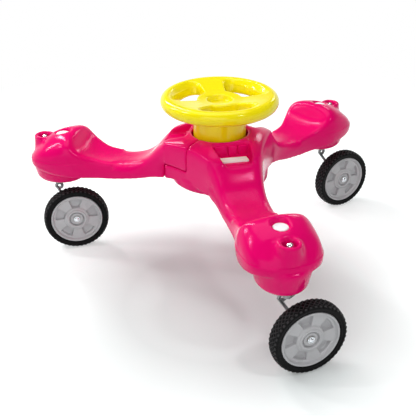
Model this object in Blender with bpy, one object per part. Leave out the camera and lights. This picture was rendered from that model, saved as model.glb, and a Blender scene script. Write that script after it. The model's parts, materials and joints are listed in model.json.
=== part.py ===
"""Wiggle tricycle: three saddle arms round a turning wheel, each on its own caster.

The moulding is one control cage for a third of the body, turned three times about the
steering axis and smoothed, then cut for the well, the pockets and the bolts. The left
arm is a moulding of its own: its tongue lies on a shelf of the main body.

Metres, +Z up. The floor is z = 0 and the front arm points along -Y.
Distances along an arm are measured from the steering axis, heights on the body from the
level of the caster cups' undersides, so the body rises with the wheels.
"""
import math

import bmesh
import bpy
from mathutils import Matrix, Vector

# Fits
GAP = 0.0003                   # between pieces that touch
RUNNING_GAP = 0.0004           # round a shaft that turns
SEAM_GAP = 0.0006              # between the two mouldings

# Stance
WHEEL_RADIUS = 0.089
TYRE_CLEARANCE = 0.0165        # from the top of a tyre up to the cup above it
SWIVEL_DISTANCE = 0.459        # steering axis to a caster's swivel axis
ARM_ANGLES = {"front": 270.0, "left": 150.0, "right": 30.0}
CASTER_HEADINGS = {"front": 273.7, "left": 265.9, "right": 282.1}   # where each axle points
STEERING_AXIS = (-0.0356, 0.1132)   # seen from the middle of the floor area

# Moulded body
WELL_RADIUS = 0.0712
WELL_DEPTH = 0.042
VALLEY_RADIUS = 0.1225         # steering axis to the corner between two arms
HUB_HEIGHT = 0.175
SHELF_HEIGHT = 0.0995
SHELF_REACH = 0.1300           # how far the shelf runs out under the left arm
PLINTH_RADIUS = 0.108
PLINTH_DROP = 0.021
BULB_LENGTH = 0.0585           # swivel axis to the arm's outer end

# Pocket in each ramp
POCKET_START = 0.0800
POCKET_END = 0.1400
POCKET_INNER_WIDTH = 0.084
POCKET_OUTER_WIDTH = 0.060
POCKET_CORNER = 0.010
POCKET_FLOOR = 0.139
POCKET_DRAFT = 0.004

# Caster housing
CUP_RADIUS = 0.0645
CUP_FOOT_RADIUS = 0.0578
CUP_ROUNDING = 0.018
CUP_TOP = 0.062                # inside the arm
CUP_STRETCH = (1.20, 1.03)     # the cup is an oval, longer along the arm than across
CUP_SET_IN = 0.013             # from the swivel axis in to the middle of the oval
PLATE_LENGTH = 0.086
PLATE_WIDTH = 0.036
PLATE_THICKNESS = 0.004
ROD_RADIUS = 0.0042
SWIVEL_TUBE_WALL = 0.0035
SWIVEL_TUBE_TOP = 0.040        # above the cup's underside
BUSH_WALL = 0.0028
BUSH_FLANGE = 0.002
EYE_DROP = 0.031               # cup underside to the middle of the rod's eye
EYE_RADIUS = 0.0078
COLLAR_RADIUS = 0.0092
COLLAR_HEIGHT = 0.008
AXLE_OFFSET = 0.0573           # swivel axis to the middle of the wheel, along the axle
TRAIL = 0.0374                 # swivel axis to the axle, square to it
LEG_BEND = 0.009

# Bolts through each arm
BOLT_SPREAD = 0.027            # on each side of the swivel axis, along the arm
BOLT_RADIUS = 0.006
BOLT_HEAD_HEIGHT = 0.0075
BOLT_END = 0.009               # how far a bolt stands above its nut's seat
NUT_WIDTH = 0.019
NUT_HEIGHT = 0.010
BOLT_SEAT_HEIGHT = 0.0988
BOSS_RADIUS = 0.0270
BOSS_HEIGHT = 0.1215
BOSS_FOOT_RADIUS = 0.0305
BOSS_RECESS_RADIUS = 0.0172
CAP_RADIUS = 0.0172
CAP_HEIGHT = 0.1315
CAP_THICKNESS = 0.0045
CAP_RECESS_RADIUS = 0.0200
CAP_PLUG_RADIUS = 0.0140
CAP_PLUG_DEPTH = 0.006

# Wheels
TYRE_WIDTH = 0.036
TYRE_INNER_RADIUS = 0.0700
TREAD_DEPTH = 0.0022
SHOULDER_DROP = 0.0040         # from the crown of the tread to its shoulders
TREAD_LUGS = 18
RIM_WIDTH = 0.029
RIM_LIP = 0.0022
WEB_DEPTH = 0.004
POCKET_COUNT = 5
WHEEL_BOSS_RADIUS = 0.0225
WHEEL_BUSH_WALL = 0.0028
WASHER_RADIUS = 0.0085
WASHER_THICKNESS = 0.0015
SCREW_HEAD_RADIUS = 0.0062
SCREW_HEAD_HEIGHT = 0.0036
SCREW_RADIUS = 0.0019
SCREW_LENGTH = 0.012

# Steering wheel
STEERING_RADIUS = 0.1480
STEERING_RIM_RADIUS = 0.0185
STEERING_HEIGHT = 0.2560       # middle of the rim, above the cup level
WELL_CLEARANCE = 0.0042        # from the hub to the wall of the well
STEERING_HUB_RADIUS = WELL_RADIUS - WELL_CLEARANCE
STEERING_HUB_FOOT = 0.1350     # underside of the hub, above the cup level
SPOKE_THICKNESS = 0.024
FACE_RISE = 0.0092             # middle of the rim up to the spokes' outer ends
FACE_DISHING = 0.0085          # and down again to the middle
WINDOW_INNER_RADIUS = 0.058
WINDOW_OUTER_RADIUS = 0.113
WINDOW_CORNER = 0.011
SPOKE_WIDTH = 0.060
SPOKE_ANGLES = (90.0, 210.0, 330.0)
DISH_RADIUS = 0.0285
DISH_DEPTH = 0.014
COLUMN_RADIUS = 0.006
INSERT_RADIUS = 0.010
INSERT_LENGTH = 0.040
COLUMN_BUSH_WALL = 0.003
HEAD_WIDTH = 0.019
HEAD_HEIGHT = 0.0075
COLUMN_RECESS_RADIUS = 0.016
COLUMN_RECESS_DEPTH = 0.016
ARM_BOLT_RADIUS = 0.004
ARM_BOLT_SPREAD = 0.036
ARM_BOLT_DISTANCE = 0.098
ARM_BOLT_GRIP = 0.030

CUP_LEVEL = 2 * WHEEL_RADIUS + TYRE_CLEARANCE
ROUND = 12                     # sides of a small round piece

COLOURS = {
    "pink": ((0.72, 0.002, 0.115, 1), 0.28, 0.0),
    "yellow": ((0.92, 0.78, 0.006, 1), 0.28, 0.0),
    "grey": ((0.40, 0.39, 0.42, 1), 0.38, 0.0),
    "rubber": ((0.012, 0.012, 0.013, 1), 0.62, 0.0),
    "white": ((0.86, 0.86, 0.88, 1), 0.30, 0.0),
    "chrome": ((0.78, 0.79, 0.80, 1), 0.10, 1.0),
    "steel": ((0.22, 0.22, 0.23, 1), 0.35, 1.0),
    "nylon": ((0.62, 0.61, 0.57, 1), 0.45, 0.0),
}


def clear_scene():
    for old in list(bpy.data.objects):
        bpy.data.objects.remove(old, do_unlink=True)


def material(name):
    found = bpy.data.materials.get(name)
    if found:
        return found
    colour, roughness, metallic = COLOURS[name]
    made = bpy.data.materials.new(name)
    made.use_nodes = True
    shader = made.node_tree.nodes["Principled BSDF"]
    shader.inputs["Base Color"].default_value = colour
    shader.inputs["Roughness"].default_value = roughness
    shader.inputs["Metallic"].default_value = metallic
    made.diffuse_color = colour
    return made


def empty(name, location, turn=0.0, parent=None):
    made = bpy.data.objects.new(name, None)
    made.location = location
    made.rotation_euler = (0, 0, math.radians(turn))
    made.parent = parent
    bpy.context.scene.collection.objects.link(made)
    return made


def finish(name, shape, colour, parent, smooth=math.radians(35)):
    """Turn a bmesh into a named object with its material, under its parent empty."""
    bmesh.ops.recalc_face_normals(shape, faces=shape.faces)
    caps = [face for face in shape.faces if len(face.verts) > 4]
    bmesh.ops.triangulate(shape, faces=caps)
    mesh = bpy.data.meshes.new(name)
    shape.to_mesh(mesh)
    shape.free()
    mesh.shade_smooth()
    mesh.set_sharp_from_angle(angle=smooth)
    mesh.materials.append(material(colour))
    made = bpy.data.objects.new(name, mesh)
    made.parent = parent
    bpy.context.scene.collection.objects.link(made)
    return made


def cutter(name, shape, parent):
    made = finish(name, shape, "steel", parent)
    made.hide_render = True
    made.display_type = "WIRE"
    return made


def boolean(target, tools, operation="DIFFERENCE"):
    """Join or cut with all the tools in one step, on faces made flat by triangles."""
    target.modifiers.new("facets", "TRIANGULATE")
    step = target.modifiers.new(operation.lower(), "BOOLEAN")
    step.operation = operation
    step.solver = "EXACT"
    if len(tools) == 1:
        step.object = tools[0]
        return
    group = bpy.data.collections.new(target.name + "_" + operation.lower())
    bpy.context.scene.collection.children.link(group)
    group.hide_render = True
    for tool in tools:
        group.objects.link(tool)
    step.operand_type = "COLLECTION"
    step.collection = group


def lathe(profile, steps=ROUND, start=0.5):
    """Turn a closed outline of (radius, height) points about the Z axis.

    The first corner stands half a step round, so that a flat faces along each arm.
    """
    shape = bmesh.new()
    turn = 2 * math.pi * start / steps
    points = [shape.verts.new((radius * math.cos(turn), radius * math.sin(turn), height))
              for radius, height in profile]
    edges = [shape.edges.new((points[n], points[n + 1])) for n in range(len(points) - 1)]
    on_axis = profile[0][0] == 0 and profile[-1][0] == 0
    if not on_axis:
        edges.append(shape.edges.new((points[-1], points[0])))
    bmesh.ops.spin(shape, geom=points + edges, cent=(0, 0, 0), axis=(0, 0, 1),
                   angle=2 * math.pi, steps=steps, use_merge=True, use_duplicate=False)
    bmesh.ops.remove_doubles(shape, verts=shape.verts, dist=1e-6)
    return shape


def tube(points, radius, sides=10):
    """Sweep a circle along a path of points, with flat ends."""
    shape = bmesh.new()
    path = [Vector(point) for point in points]
    rings = []
    side = None
    for n, here in enumerate(path):
        ahead = path[min(n + 1, len(path) - 1)] - path[max(n - 1, 0)]
        ahead.normalize()
        if side is None:
            side = ahead.orthogonal().normalized()
        side = (side - ahead * side.dot(ahead)).normalized()
        other = ahead.cross(side)
        turns = [2 * math.pi * step / sides for step in range(sides)]
        rings.append([shape.verts.new(here + (side * math.cos(a) + other * math.sin(a)) * radius)
                      for a in turns])
    for first, second in zip(rings, rings[1:]):
        for n in range(sides):
            m = (n + 1) % sides
            shape.faces.new((first[n], first[m], second[m], second[n]))
    shape.faces.new(rings[0][::-1])
    shape.faces.new(rings[-1])
    return shape


def arc(centre, radius, start, end, steps):
    """Points on an arc, angles in degrees."""
    angles = [math.radians(start + (end - start) * n / steps) for n in range(steps + 1)]
    return [(centre[0] + radius * math.cos(a), centre[1] + radius * math.sin(a)) for a in angles]


def prism(outline, low, high, grow=0.0):
    """Extrude a plan outline upwards; grow widens the top for draft."""
    shape = bmesh.new()
    middle = sum((Vector(point) for point in outline), Vector((0, 0))) / len(outline)
    bottom = [shape.verts.new((x, y, low)) for x, y in outline]
    face = shape.faces.new(bottom)
    lifted = bmesh.ops.extrude_face_region(shape, geom=[face])["geom"]
    for vert in (item for item in lifted if isinstance(item, bmesh.types.BMVert)):
        away = (Vector(vert.co[:2]) - middle).normalized() * grow
        vert.co = (vert.co.x + away.x, vert.co.y + away.y, high)
    return shape


def hexagon(width):
    reach = width / 2 / math.cos(math.pi / 6)
    return [(reach * math.cos(a), reach * math.sin(a))
            for a in (math.pi / 3 * n for n in range(6))]


def rounded(corners, radius, steps=3):
    """Round the corners of a convex plan outline, given anticlockwise."""
    outline = []
    count = len(corners)
    for n in range(count):
        here = Vector(corners[n])
        back = (Vector(corners[n - 1]) - here).normalized()
        ahead = (Vector(corners[(n + 1) % count]) - here).normalized()
        half = back.angle(ahead) / 2
        centre = here + (back + ahead).normalized() * radius / math.sin(half)
        start = here + back * radius / math.tan(half) - centre
        end = here + ahead * radius / math.tan(half) - centre
        sweep = start.angle_signed(end)
        for step in range(steps + 1):
            spoke = start.copy()
            spoke.rotate(Matrix.Rotation(-sweep * step / steps, 2))
            outline.append(tuple(centre + spoke))
    return outline


# The moulded body. Each row of the loft is one section across an arm:
# (distance, bow, half widths top/side/wide/foot, heights centre/edge/side/wide/foot)
ACROSS = (-1.0, -0.62, 0.0, 0.62, 1.0)
HUB_SECTIONS = (
    (0.132, -0.014, 0.0700, 0.0740, 0.0770, 0.0765, 0.158, 0.1610, 0.148, 0.100, 0.062),
    (0.147, -0.003, 0.0620, 0.0650, 0.0680, 0.0675, 0.146, 0.1475, 0.134, 0.090, 0.057),
    (0.170, 0.000, 0.0580, 0.0605, 0.0630, 0.0625, 0.113, 0.1140, 0.102, 0.076, 0.053),
    (0.190, 0.000, 0.0555, 0.0590, 0.0620, 0.0620, 0.092, 0.0945, 0.083, 0.065, 0.047),
    (0.224, 0.000, 0.0520, 0.0560, 0.0595, 0.0595, 0.078, 0.0815, 0.071, 0.057, 0.040),
)
SEAT_SECTION = (0.277, 0.000, 0.0510, 0.0545, 0.0580, 0.0585, 0.072, 0.0765, 0.067, 0.052, 0.034)
END_SECTIONS = (      # distances from the swivel axis
    (-0.138, 0.000, 0.0530, 0.0570, 0.0610, 0.0610, 0.076, 0.0810, 0.070, 0.053, 0.032),
    (-0.109, -0.004, 0.0620, 0.0670, 0.0700, 0.0680, 0.086, 0.0925, 0.080, 0.058, 0.033),
    (-0.084, -0.004, 0.0700, 0.0775, 0.0800, 0.0765, 0.104, 0.1060, 0.092, 0.062, 0.034),
    (-0.070, -0.004, 0.0710, 0.0830, 0.0850, 0.0800, 0.136, 0.1240, 0.101, 0.066, 0.035),
    (-0.055, -0.004, 0.0700, 0.0870, 0.0895, 0.0840, 0.1445, 0.1310, 0.104, 0.069, 0.037),
    (-0.020, -0.006, 0.0650, 0.0875, 0.0915, 0.0860, 0.1385, 0.1225, 0.101, 0.071, 0.042),
    (0.014, -0.012, 0.0580, 0.0830, 0.0890, 0.0845, 0.1240, 0.1120, 0.096, 0.071, 0.048),
)
TIP_REACH = (0.000, 0.002, -0.013, -0.030)       # foot, wide, side and top, from the tip
TIP_WIDTH = (0.0760, 0.0795, 0.0720, 0.0490)
TIP_HEIGHT = (0.0550, 0.0740, 0.0930, 0.1060)
TIP_ROUNDING = (0.030, 0.030, 0.026, 0.016)
VALLEY_HEIGHTS = (0.070, 0.100, 0.151, 0.163)    # foot, wide, side and top
VALLEY_SET_IN = 0.004
LEVELS = 4


def section_points(row, distance):
    """The lattice points of one section, keyed by column across and level up."""
    _, bow, top, side, wide, foot, centre, edge, side_z, wide_z, foot_z = row
    widths = (foot, wide, side, top)
    heights = (foot_z, wide_z, side_z, edge)
    points = {}
    for column, u in enumerate(ACROSS):
        for level in range(LEVELS):
            height = heights[level]
            if level == LEVELS - 1:
                height = centre + (edge - centre) * u * u
            points[column, level] = Vector((distance + bow * u * u, widths[level] * u, height))
    return points


def hub_points(radius, top, foot):
    """Points on an arc a third of the way round the steering axis."""
    points = {}
    for column in range(len(ACROSS)):
        angle = math.radians(60 * (2 * column / (len(ACROSS) - 1) - 1))
        x, y = radius * math.cos(angle), radius * math.sin(angle)
        points[column, LEVELS - 1] = Vector((x, y, top))
        points[column, 0] = Vector((x, y, foot))
    return points


def valley_points():
    """The section whose ends lie in the corners between neighbouring arms."""
    points = {}
    for column, u in enumerate(ACROSS):
        angle = math.radians(60 * u)
        for level, height in enumerate(VALLEY_HEIGHTS):
            radius = VALLEY_RADIUS - (VALLEY_SET_IN if level == LEVELS - 1 else 0)
            inward = (1 - abs(u)) * (0.006 if level == LEVELS - 1 else 0.0)
            lift = (1 - u * u) * (0.009 if level == LEVELS - 1 else 0.0)
            reach = radius - inward
            points[column, level] = Vector((reach * math.cos(angle), reach * math.sin(angle),
                                            height + lift))
    return points


def tip_points():
    """The outer end of an arm: a flattened round, drawn in above and below."""
    points = {}
    tip = SWIVEL_DISTANCE + BULB_LENGTH
    for column, u in enumerate(ACROSS):
        for level in range(LEVELS):
            x = tip + TIP_REACH[level] - TIP_ROUNDING[level] * abs(u) ** 3
            points[column, level] = Vector((x, TIP_WIDTH[level] * u, TIP_HEIGHT[level]))
    return points


def arm_rows():
    rows = [hub_points(0.060, HUB_HEIGHT, VALLEY_HEIGHTS[0]),
            hub_points(0.092, HUB_HEIGHT, VALLEY_HEIGHTS[0]), valley_points()]
    rows += [section_points(row, row[0]) for row in HUB_SECTIONS]
    middle = (HUB_SECTIONS[-1][0] + SWIVEL_DISTANCE + END_SECTIONS[0][0]) / 2
    rows.append(section_points(SEAT_SECTION, middle))
    rows += [section_points(row, SWIVEL_DISTANCE + row[0]) for row in END_SECTIONS]
    rows.append(tip_points())
    return rows


def body_cage():
    """Skin the lattice of all three arms, closed over the hub, with creased lower edges."""
    shape = bmesh.new()
    crease = shape.edges.layers.float.new("crease_edge")
    last_column, last_level = len(ACROSS) - 1, LEVELS - 1
    rows = arm_rows()
    rims = {last_level: [], 0: []}
    for angle in ARM_ANGLES.values():
        turn = Matrix.Rotation(math.radians(angle), 4, "Z")
        grid = [{key: shape.verts.new(turn @ point + Vector((0, 0, CUP_LEVEL)))
                 for key, point in row.items()} for row in rows]
        for n in range(len(grid) - 1):
            near, far = grid[n], grid[n + 1]
            for level in (last_level, 0):
                for c in range(last_column):
                    shape.faces.new((near[c, level], near[c + 1, level],
                                     far[c + 1, level], far[c, level]))
            if n < 2:
                continue
            for column in (0, last_column):
                for level in range(last_level):
                    shape.faces.new((near[column, level], far[column, level],
                                     far[column, level + 1], near[column, level + 1]))
                edge = shape.edges.get((near[column, 0], far[column, 0]))
                edge[crease] = 0.7
        tip = grid[-1]
        for c in range(last_column):
            for level in range(last_level):
                shape.faces.new((tip[c, level], tip[c + 1, level],
                                 tip[c + 1, level + 1], tip[c, level + 1]))
            shape.edges.get((tip[c, 0], tip[c + 1, 0]))[crease] = 0.7
        for level in rims:
            rims[level] += [grid[0][c, level] for c in range(last_column)]
    bmesh.ops.remove_doubles(shape, verts=shape.verts, dist=1e-5)
    for level in rims:
        ring = [edge for edge in shape.edges if edge.is_boundary
                and all(abs(vert.co.z - CUP_LEVEL - (HUB_HEIGHT if level else VALLEY_HEIGHTS[0])) < 1e-5
                        for vert in edge.verts)]
        bmesh.ops.contextual_create(shape, geom=ring)
    return shape


def left_region(name, gap, inner, root):
    """The room of the left arm: its third round the well, above the shelf and beyond it.

    A gap widens the room on the sides that face the main body; inner is its inner radius.
    """
    low, high, wide, far = CUP_LEVEL - 0.1, CUP_LEVEL + 0.3, 0.5, 0.8
    start, shelf = SHELF_REACH - gap, CUP_LEVEL + SHELF_HEIGHT - gap
    side = [(-0.4, shelf), (start, shelf), (start, low), (far, low), (far, high), (-0.4, high)]
    shape = bmesh.new()
    face = shape.faces.new([shape.verts.new((x, -wide, z)) for x, z in side])
    lifted = bmesh.ops.extrude_face_region(shape, geom=[face])["geom"]
    verts = [item for item in lifted if isinstance(item, bmesh.types.BMVert)]
    bmesh.ops.translate(shape, verts=verts, vec=(0, 2 * wide, 0))
    for hand in (-1, 1):
        normal = Vector((-math.sin(math.pi / 3), hand * math.cos(math.pi / 3), 0))
        cut = bmesh.ops.bisect_plane(shape, geom=shape.verts[:] + shape.edges[:] + shape.faces[:],
                                     plane_co=normal * gap, plane_no=normal, clear_outer=True)
        ring = [item for item in cut["geom_cut"] if isinstance(item, bmesh.types.BMEdge)]
        bmesh.ops.contextual_create(shape, geom=ring)
    turn = Matrix.Rotation(math.radians(ARM_ANGLES["left"]), 4, "Z")
    bmesh.ops.transform(shape, matrix=turn, verts=shape.verts)
    region = cutter(name, shape, root)
    core = lathe([(0, low - 0.1), (inner, low - 0.1), (inner, high + 0.1), (0, high + 0.1)], 37)
    boolean(region, [cutter(name + "_core", core, root)])
    return region


def cup_outline():
    """Half outline of the round-bottomed cup below an arm's bulb."""
    rounding = arc((CUP_FOOT_RADIUS - CUP_ROUNDING, CUP_ROUNDING), CUP_ROUNDING, -90, 0, 4)
    wall = [(CUP_RADIUS, CUP_TOP - 0.012), (CUP_RADIUS, CUP_TOP), (0, CUP_TOP)]
    return [(0, 0)] + rounding + wall


def well(root):
    floor, brim = CUP_LEVEL + HUB_HEIGHT - WELL_DEPTH, CUP_LEVEL + HUB_HEIGHT
    shape = lathe([(0, floor), (WELL_RADIUS, floor), (WELL_RADIUS, brim - 0.004),
                   (WELL_RADIUS + 0.0045, brim + 0.002), (WELL_RADIUS + 0.0045, brim + 0.05),
                   (0, brim + 0.05)], 36)
    return cutter("well_cutter", shape, root)


def plinth(root):
    foot = CUP_LEVEL + VALLEY_HEIGHTS[0]
    shape = lathe([(0, foot - PLINTH_DROP), (PLINTH_RADIUS - 0.006, foot - PLINTH_DROP),
                   (PLINTH_RADIUS, foot - PLINTH_DROP + 0.006), (PLINTH_RADIUS, foot + 0.020),
                   (0, foot + 0.020)], 32)
    return cutter("plinth", shape, root)


def placed(name, shape, distance, frame):
    """A cutter standing at a distance along an arm."""
    shape.transform(Matrix.Translation((distance, 0, 0)))
    return cutter(name, shape, frame)


def arm_additions(arm, frame):
    """The cup and the bolt's boss, which are moulded with the arm."""
    top = BOSS_HEIGHT
    boss = lathe([(0, CUP_TOP + 0.010), (BOSS_FOOT_RADIUS, CUP_TOP + 0.010),
                  (BOSS_RADIUS, top - 0.005), (BOSS_RADIUS - 0.0015, top - 0.0015),
                  (BOSS_RADIUS - 0.005, top), (0, top)])
    cup = lathe(cup_outline(), 32)
    cup.transform(Matrix.Diagonal((CUP_STRETCH[0], CUP_STRETCH[1], 1, 1)))
    return [placed("cup_of_" + arm, cup, SWIVEL_DISTANCE - CUP_SET_IN, frame),
            placed("boss_of_" + arm, boss, SWIVEL_DISTANCE + BOLT_SPREAD, frame)]


def arm_cuts(arm, frame):
    """Holes for the two bolts and the swivel tube, and the pocket in the ramp."""
    top, seat = BOSS_HEIGHT, BOLT_SEAT_HEIGHT
    shaft = BOLT_RADIUS + GAP
    nut_hole = lathe([(0, -0.02), (shaft, -0.02), (shaft, seat), (BOSS_RECESS_RADIUS - 0.002, seat),
                      (BOSS_RECESS_RADIUS, top - 0.003), (BOSS_RECESS_RADIUS + 0.003, top + 0.001),
                      (BOSS_RECESS_RADIUS + 0.003, top + 0.05), (0, top + 0.05)])
    ledge = CAP_HEIGHT - CAP_THICKNESS - GAP
    plug = CAP_PLUG_RADIUS + GAP
    cap_hole = lathe([(0, -0.02), (shaft, -0.02), (shaft, seat), (plug, seat), (plug, ledge),
                      (CAP_RADIUS + GAP, ledge), (CAP_RADIUS + 0.001, ledge + 0.006),
                      (CAP_RECESS_RADIUS + 0.003, ledge + 0.022),
                      (CAP_RECESS_RADIUS + 0.003, ledge + 0.08), (0, ledge + 0.08)])
    tube_room = ROD_RADIUS + RUNNING_GAP + BUSH_WALL + SWIVEL_TUBE_WALL + 3 * GAP
    stem_top = SWIVEL_TUBE_TOP + COLLAR_HEIGHT + 0.004
    swivel_hole = lathe([(0, -0.02), (tube_room, -0.02), (tube_room, stem_top), (0, stem_top)])
    corners = [(POCKET_START, -POCKET_INNER_WIDTH / 2), (POCKET_END, -POCKET_OUTER_WIDTH / 2),
               (POCKET_END, POCKET_OUTER_WIDTH / 2), (POCKET_START, POCKET_INNER_WIDTH / 2)]
    pocket = prism(rounded(corners, POCKET_CORNER), POCKET_FLOOR, HUB_HEIGHT + 0.02, POCKET_DRAFT)
    return [placed("nut_hole_of_" + arm, nut_hole, SWIVEL_DISTANCE + BOLT_SPREAD, frame),
            placed("cap_hole_of_" + arm, cap_hole, SWIVEL_DISTANCE - BOLT_SPREAD, frame),
            placed("swivel_hole_of_" + arm, swivel_hole, SWIVEL_DISTANCE, frame),
            cutter("pocket_of_" + arm, pocket, frame)]


def moulding(name, root):
    part = finish(name, body_cage(), "pink", root, math.radians(40))
    smooth = part.modifiers.new("smooth", "SUBSURF")
    smooth.levels = smooth.render_levels = 1
    return part


def body_mouldings(root):
    """The main body and the left arm, both cut from the same smoothed cage."""
    additions, cuts = {}, {}
    for arm, angle in ARM_ANGLES.items():
        frame = empty("frame_of_" + arm + "_arm", (0, 0, CUP_LEVEL), angle, root)
        additions[arm] = arm_additions(arm, frame)
        cuts[arm] = arm_cuts(arm, frame)
    opening = well(root)
    bolt_holes = arm_bolts(root)
    left = moulding("left_arm", root)
    boolean(left, additions["left"], "UNION")
    boolean(left, cuts["left"] + [opening] + bolt_holes)
    half = SEAM_GAP / 2
    boolean(left, [left_region("left_arm_region", -half, WELL_RADIUS + half, root)], "INTERSECT")
    body = moulding("main_body", root)
    boolean(body, additions["front"] + additions["right"] + [plinth(root)], "UNION")
    room = left_region("room_of_left_arm", half, WELL_RADIUS - half, root)
    boolean(body, cuts["front"] + cuts["right"] + bolt_holes + [opening, column_bore(root), room])


def column_bore(root):
    """The bore for the steering column's bush, and the recess for the bolt head below it."""
    foot = CUP_LEVEL + VALLEY_HEIGHTS[0] - PLINTH_DROP
    bore = COLUMN_RADIUS + RUNNING_GAP + COLUMN_BUSH_WALL + GAP
    top = CUP_LEVEL + HUB_HEIGHT
    shape = lathe([(0, foot - 0.01), (COLUMN_RECESS_RADIUS, foot - 0.01),
                   (COLUMN_RECESS_RADIUS, foot + COLUMN_RECESS_DEPTH),
                   (bore, foot + COLUMN_RECESS_DEPTH), (bore, top), (0, top)])
    return cutter("column_bore", shape, root)


def arm_bolts(root):
    """Two bolts pull the left arm's tongue down on the shelf; returns their holes."""
    frame = bpy.data.objects["frame_of_left_arm"]
    head = ARM_BOLT_RADIUS * 2
    seat = SHELF_HEIGHT - ARM_BOLT_GRIP + 0.012
    tip = SHELF_HEIGHT + ARM_BOLT_GRIP
    hole = ARM_BOLT_RADIUS + GAP
    holes = []
    for hand, label in ((-1, "a"), (1, "b")):
        place = Matrix.Translation((ARM_BOLT_DISTANCE, hand * ARM_BOLT_SPREAD, 0))
        shape = lathe([(0, 0.01), (head + 0.001, 0.01), (head + 0.001, seat), (hole, seat),
                       (hole, tip + 0.001), (0, tip + 0.001)])
        shape.transform(place)
        holes.append(cutter("arm_bolt_hole_" + label, shape, frame))
        bolt = lathe([(0, seat - 0.006), (head - 0.001, seat - 0.006), (head, seat - 0.004),
                      (head, seat - GAP), (ARM_BOLT_RADIUS, seat - GAP), (ARM_BOLT_RADIUS, tip),
                      (0, tip)])
        bolt.transform(place)
        finish("arm_bolt_" + label, bolt, "steel", frame)
    return holes


def steering(root):
    """The steering wheel with its column bolt, insert, washer and bush."""
    spin = empty("steering_axis", (0, 0, CUP_LEVEL), 0.0, root)
    rim_mid = STEERING_RADIUS - STEERING_RIM_RADIUS
    face = STEERING_HEIGHT + FACE_RISE
    back = face - SPOKE_THICKNESS
    low_face = face - FACE_DISHING
    rim = arc((rim_mid, STEERING_HEIGHT), STEERING_RIM_RADIUS, -150, 150, 7)
    flank = STEERING_HUB_RADIUS
    dish = DISH_RADIUS
    insert = INSERT_RADIUS + GAP
    foot = STEERING_HUB_FOOT
    profile = [(insert, foot), (flank - 0.006, foot), (flank, foot + 0.006),
               (flank, back - 0.004), (flank + 0.006, back)]
    profile += rim
    profile += [(rim_mid - STEERING_RIM_RADIUS - 0.010, face - 0.0012), (0.070, low_face + 0.0035),
                (dish + 0.004, low_face), (dish, low_face - 0.002),
                (dish - 0.004, low_face - DISH_DEPTH + 0.003),
                (dish - 0.009, low_face - DISH_DEPTH), (0, low_face - DISH_DEPTH)]
    socket = foot + INSERT_LENGTH + GAP
    profile = [(0, socket), (insert, socket)] + profile
    wheel = finish("steering_wheel", lathe(profile, 36), "yellow", spin, math.radians(40))
    boolean(wheel, [cutter("window_%d" % n, prism(window_outline(angle, angle + 120.0), back - 0.012,
                                                 face + 0.03), spin)
                    for n, angle in enumerate(SPOKE_ANGLES)])
    column(spin, root, foot)


def window_outline(first, last):
    """A kidney between the spokes at two angles, with round corners."""
    inner, outer, corner = WINDOW_INNER_RADIUS, WINDOW_OUTER_RADIUS, WINDOW_CORNER
    beside = SPOKE_WIDTH / 2 + corner
    near, far = inner + corner, outer - corner
    near_cut = math.degrees(math.asin(beside / near))
    far_cut = math.degrees(math.asin(beside / far))
    corners = (                    # reach, bearing, and the arc's first and last angle
        (far, last - far_cut, last - far_cut, last + 90),
        (near, last - near_cut, last + 90, last - near_cut + 180),
        (near, first + near_cut, first + near_cut - 180, first - 90),
        (far, first + far_cut, first - 90, first + far_cut),
    )
    rounds = []
    for reach, bearing, begin, end in corners:
        centre = (reach * math.cos(math.radians(bearing)), reach * math.sin(math.radians(bearing)))
        rounds.append(arc(centre, corner, begin, end, 3)[1:])
    points = arc((0, 0), outer, first + far_cut, last - far_cut, 8)
    points += rounds[0] + rounds[1]
    points += arc((0, 0), inner, last - near_cut, first + near_cut, 5)[1:]
    points += rounds[2] + rounds[3]
    return points[:-1]


def column(spin, root, hub_foot):
    """Bolt from below, up through the bush in the body, into the insert of the wheel."""
    foot = VALLEY_HEIGHTS[0] - PLINTH_DROP + COLUMN_RECESS_DEPTH
    washer_low = foot - GAP - 0.002
    bush_in = COLUMN_RADIUS + RUNNING_GAP
    bush_out = bush_in + COLUMN_BUSH_WALL
    well = HUB_HEIGHT - WELL_DEPTH
    bush = lathe([(bush_in, foot + GAP), (bush_out, foot + GAP), (bush_out, well + GAP),
                  (bush_out + 0.005, well + GAP), (bush_out + 0.005, hub_foot - GAP),
                  (bush_in, hub_foot - GAP)])
    finish("column_bush", bush, "nylon", spin)
    washer = lathe([(COLUMN_RADIUS + GAP, washer_low), (0.0125, washer_low),
                    (0.0125, washer_low + 0.002), (COLUMN_RADIUS + GAP, washer_low + 0.002)])
    finish("column_washer", washer, "steel", spin)
    head = prism(hexagon(HEAD_WIDTH), washer_low - GAP - HEAD_HEIGHT, washer_low - GAP)
    bolt = finish("column_bolt", head, "steel", spin)
    tip = hub_foot + INSERT_LENGTH - 0.004
    shank = lathe([(0, washer_low - 0.003), (COLUMN_RADIUS, washer_low - 0.003),
                   (COLUMN_RADIUS, tip - 0.001), (COLUMN_RADIUS - 0.001, tip), (0, tip)])
    boolean(bolt, [cutter("column_shank", shank, spin)], "UNION")
    insert = lathe([(COLUMN_RADIUS + GAP, hub_foot + 0.001), (INSERT_RADIUS, hub_foot + 0.001),
                    (INSERT_RADIUS, hub_foot + INSERT_LENGTH),
                    (COLUMN_RADIUS + GAP, hub_foot + INSERT_LENGTH)])
    finish("column_insert", insert, "steel", spin)


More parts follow.
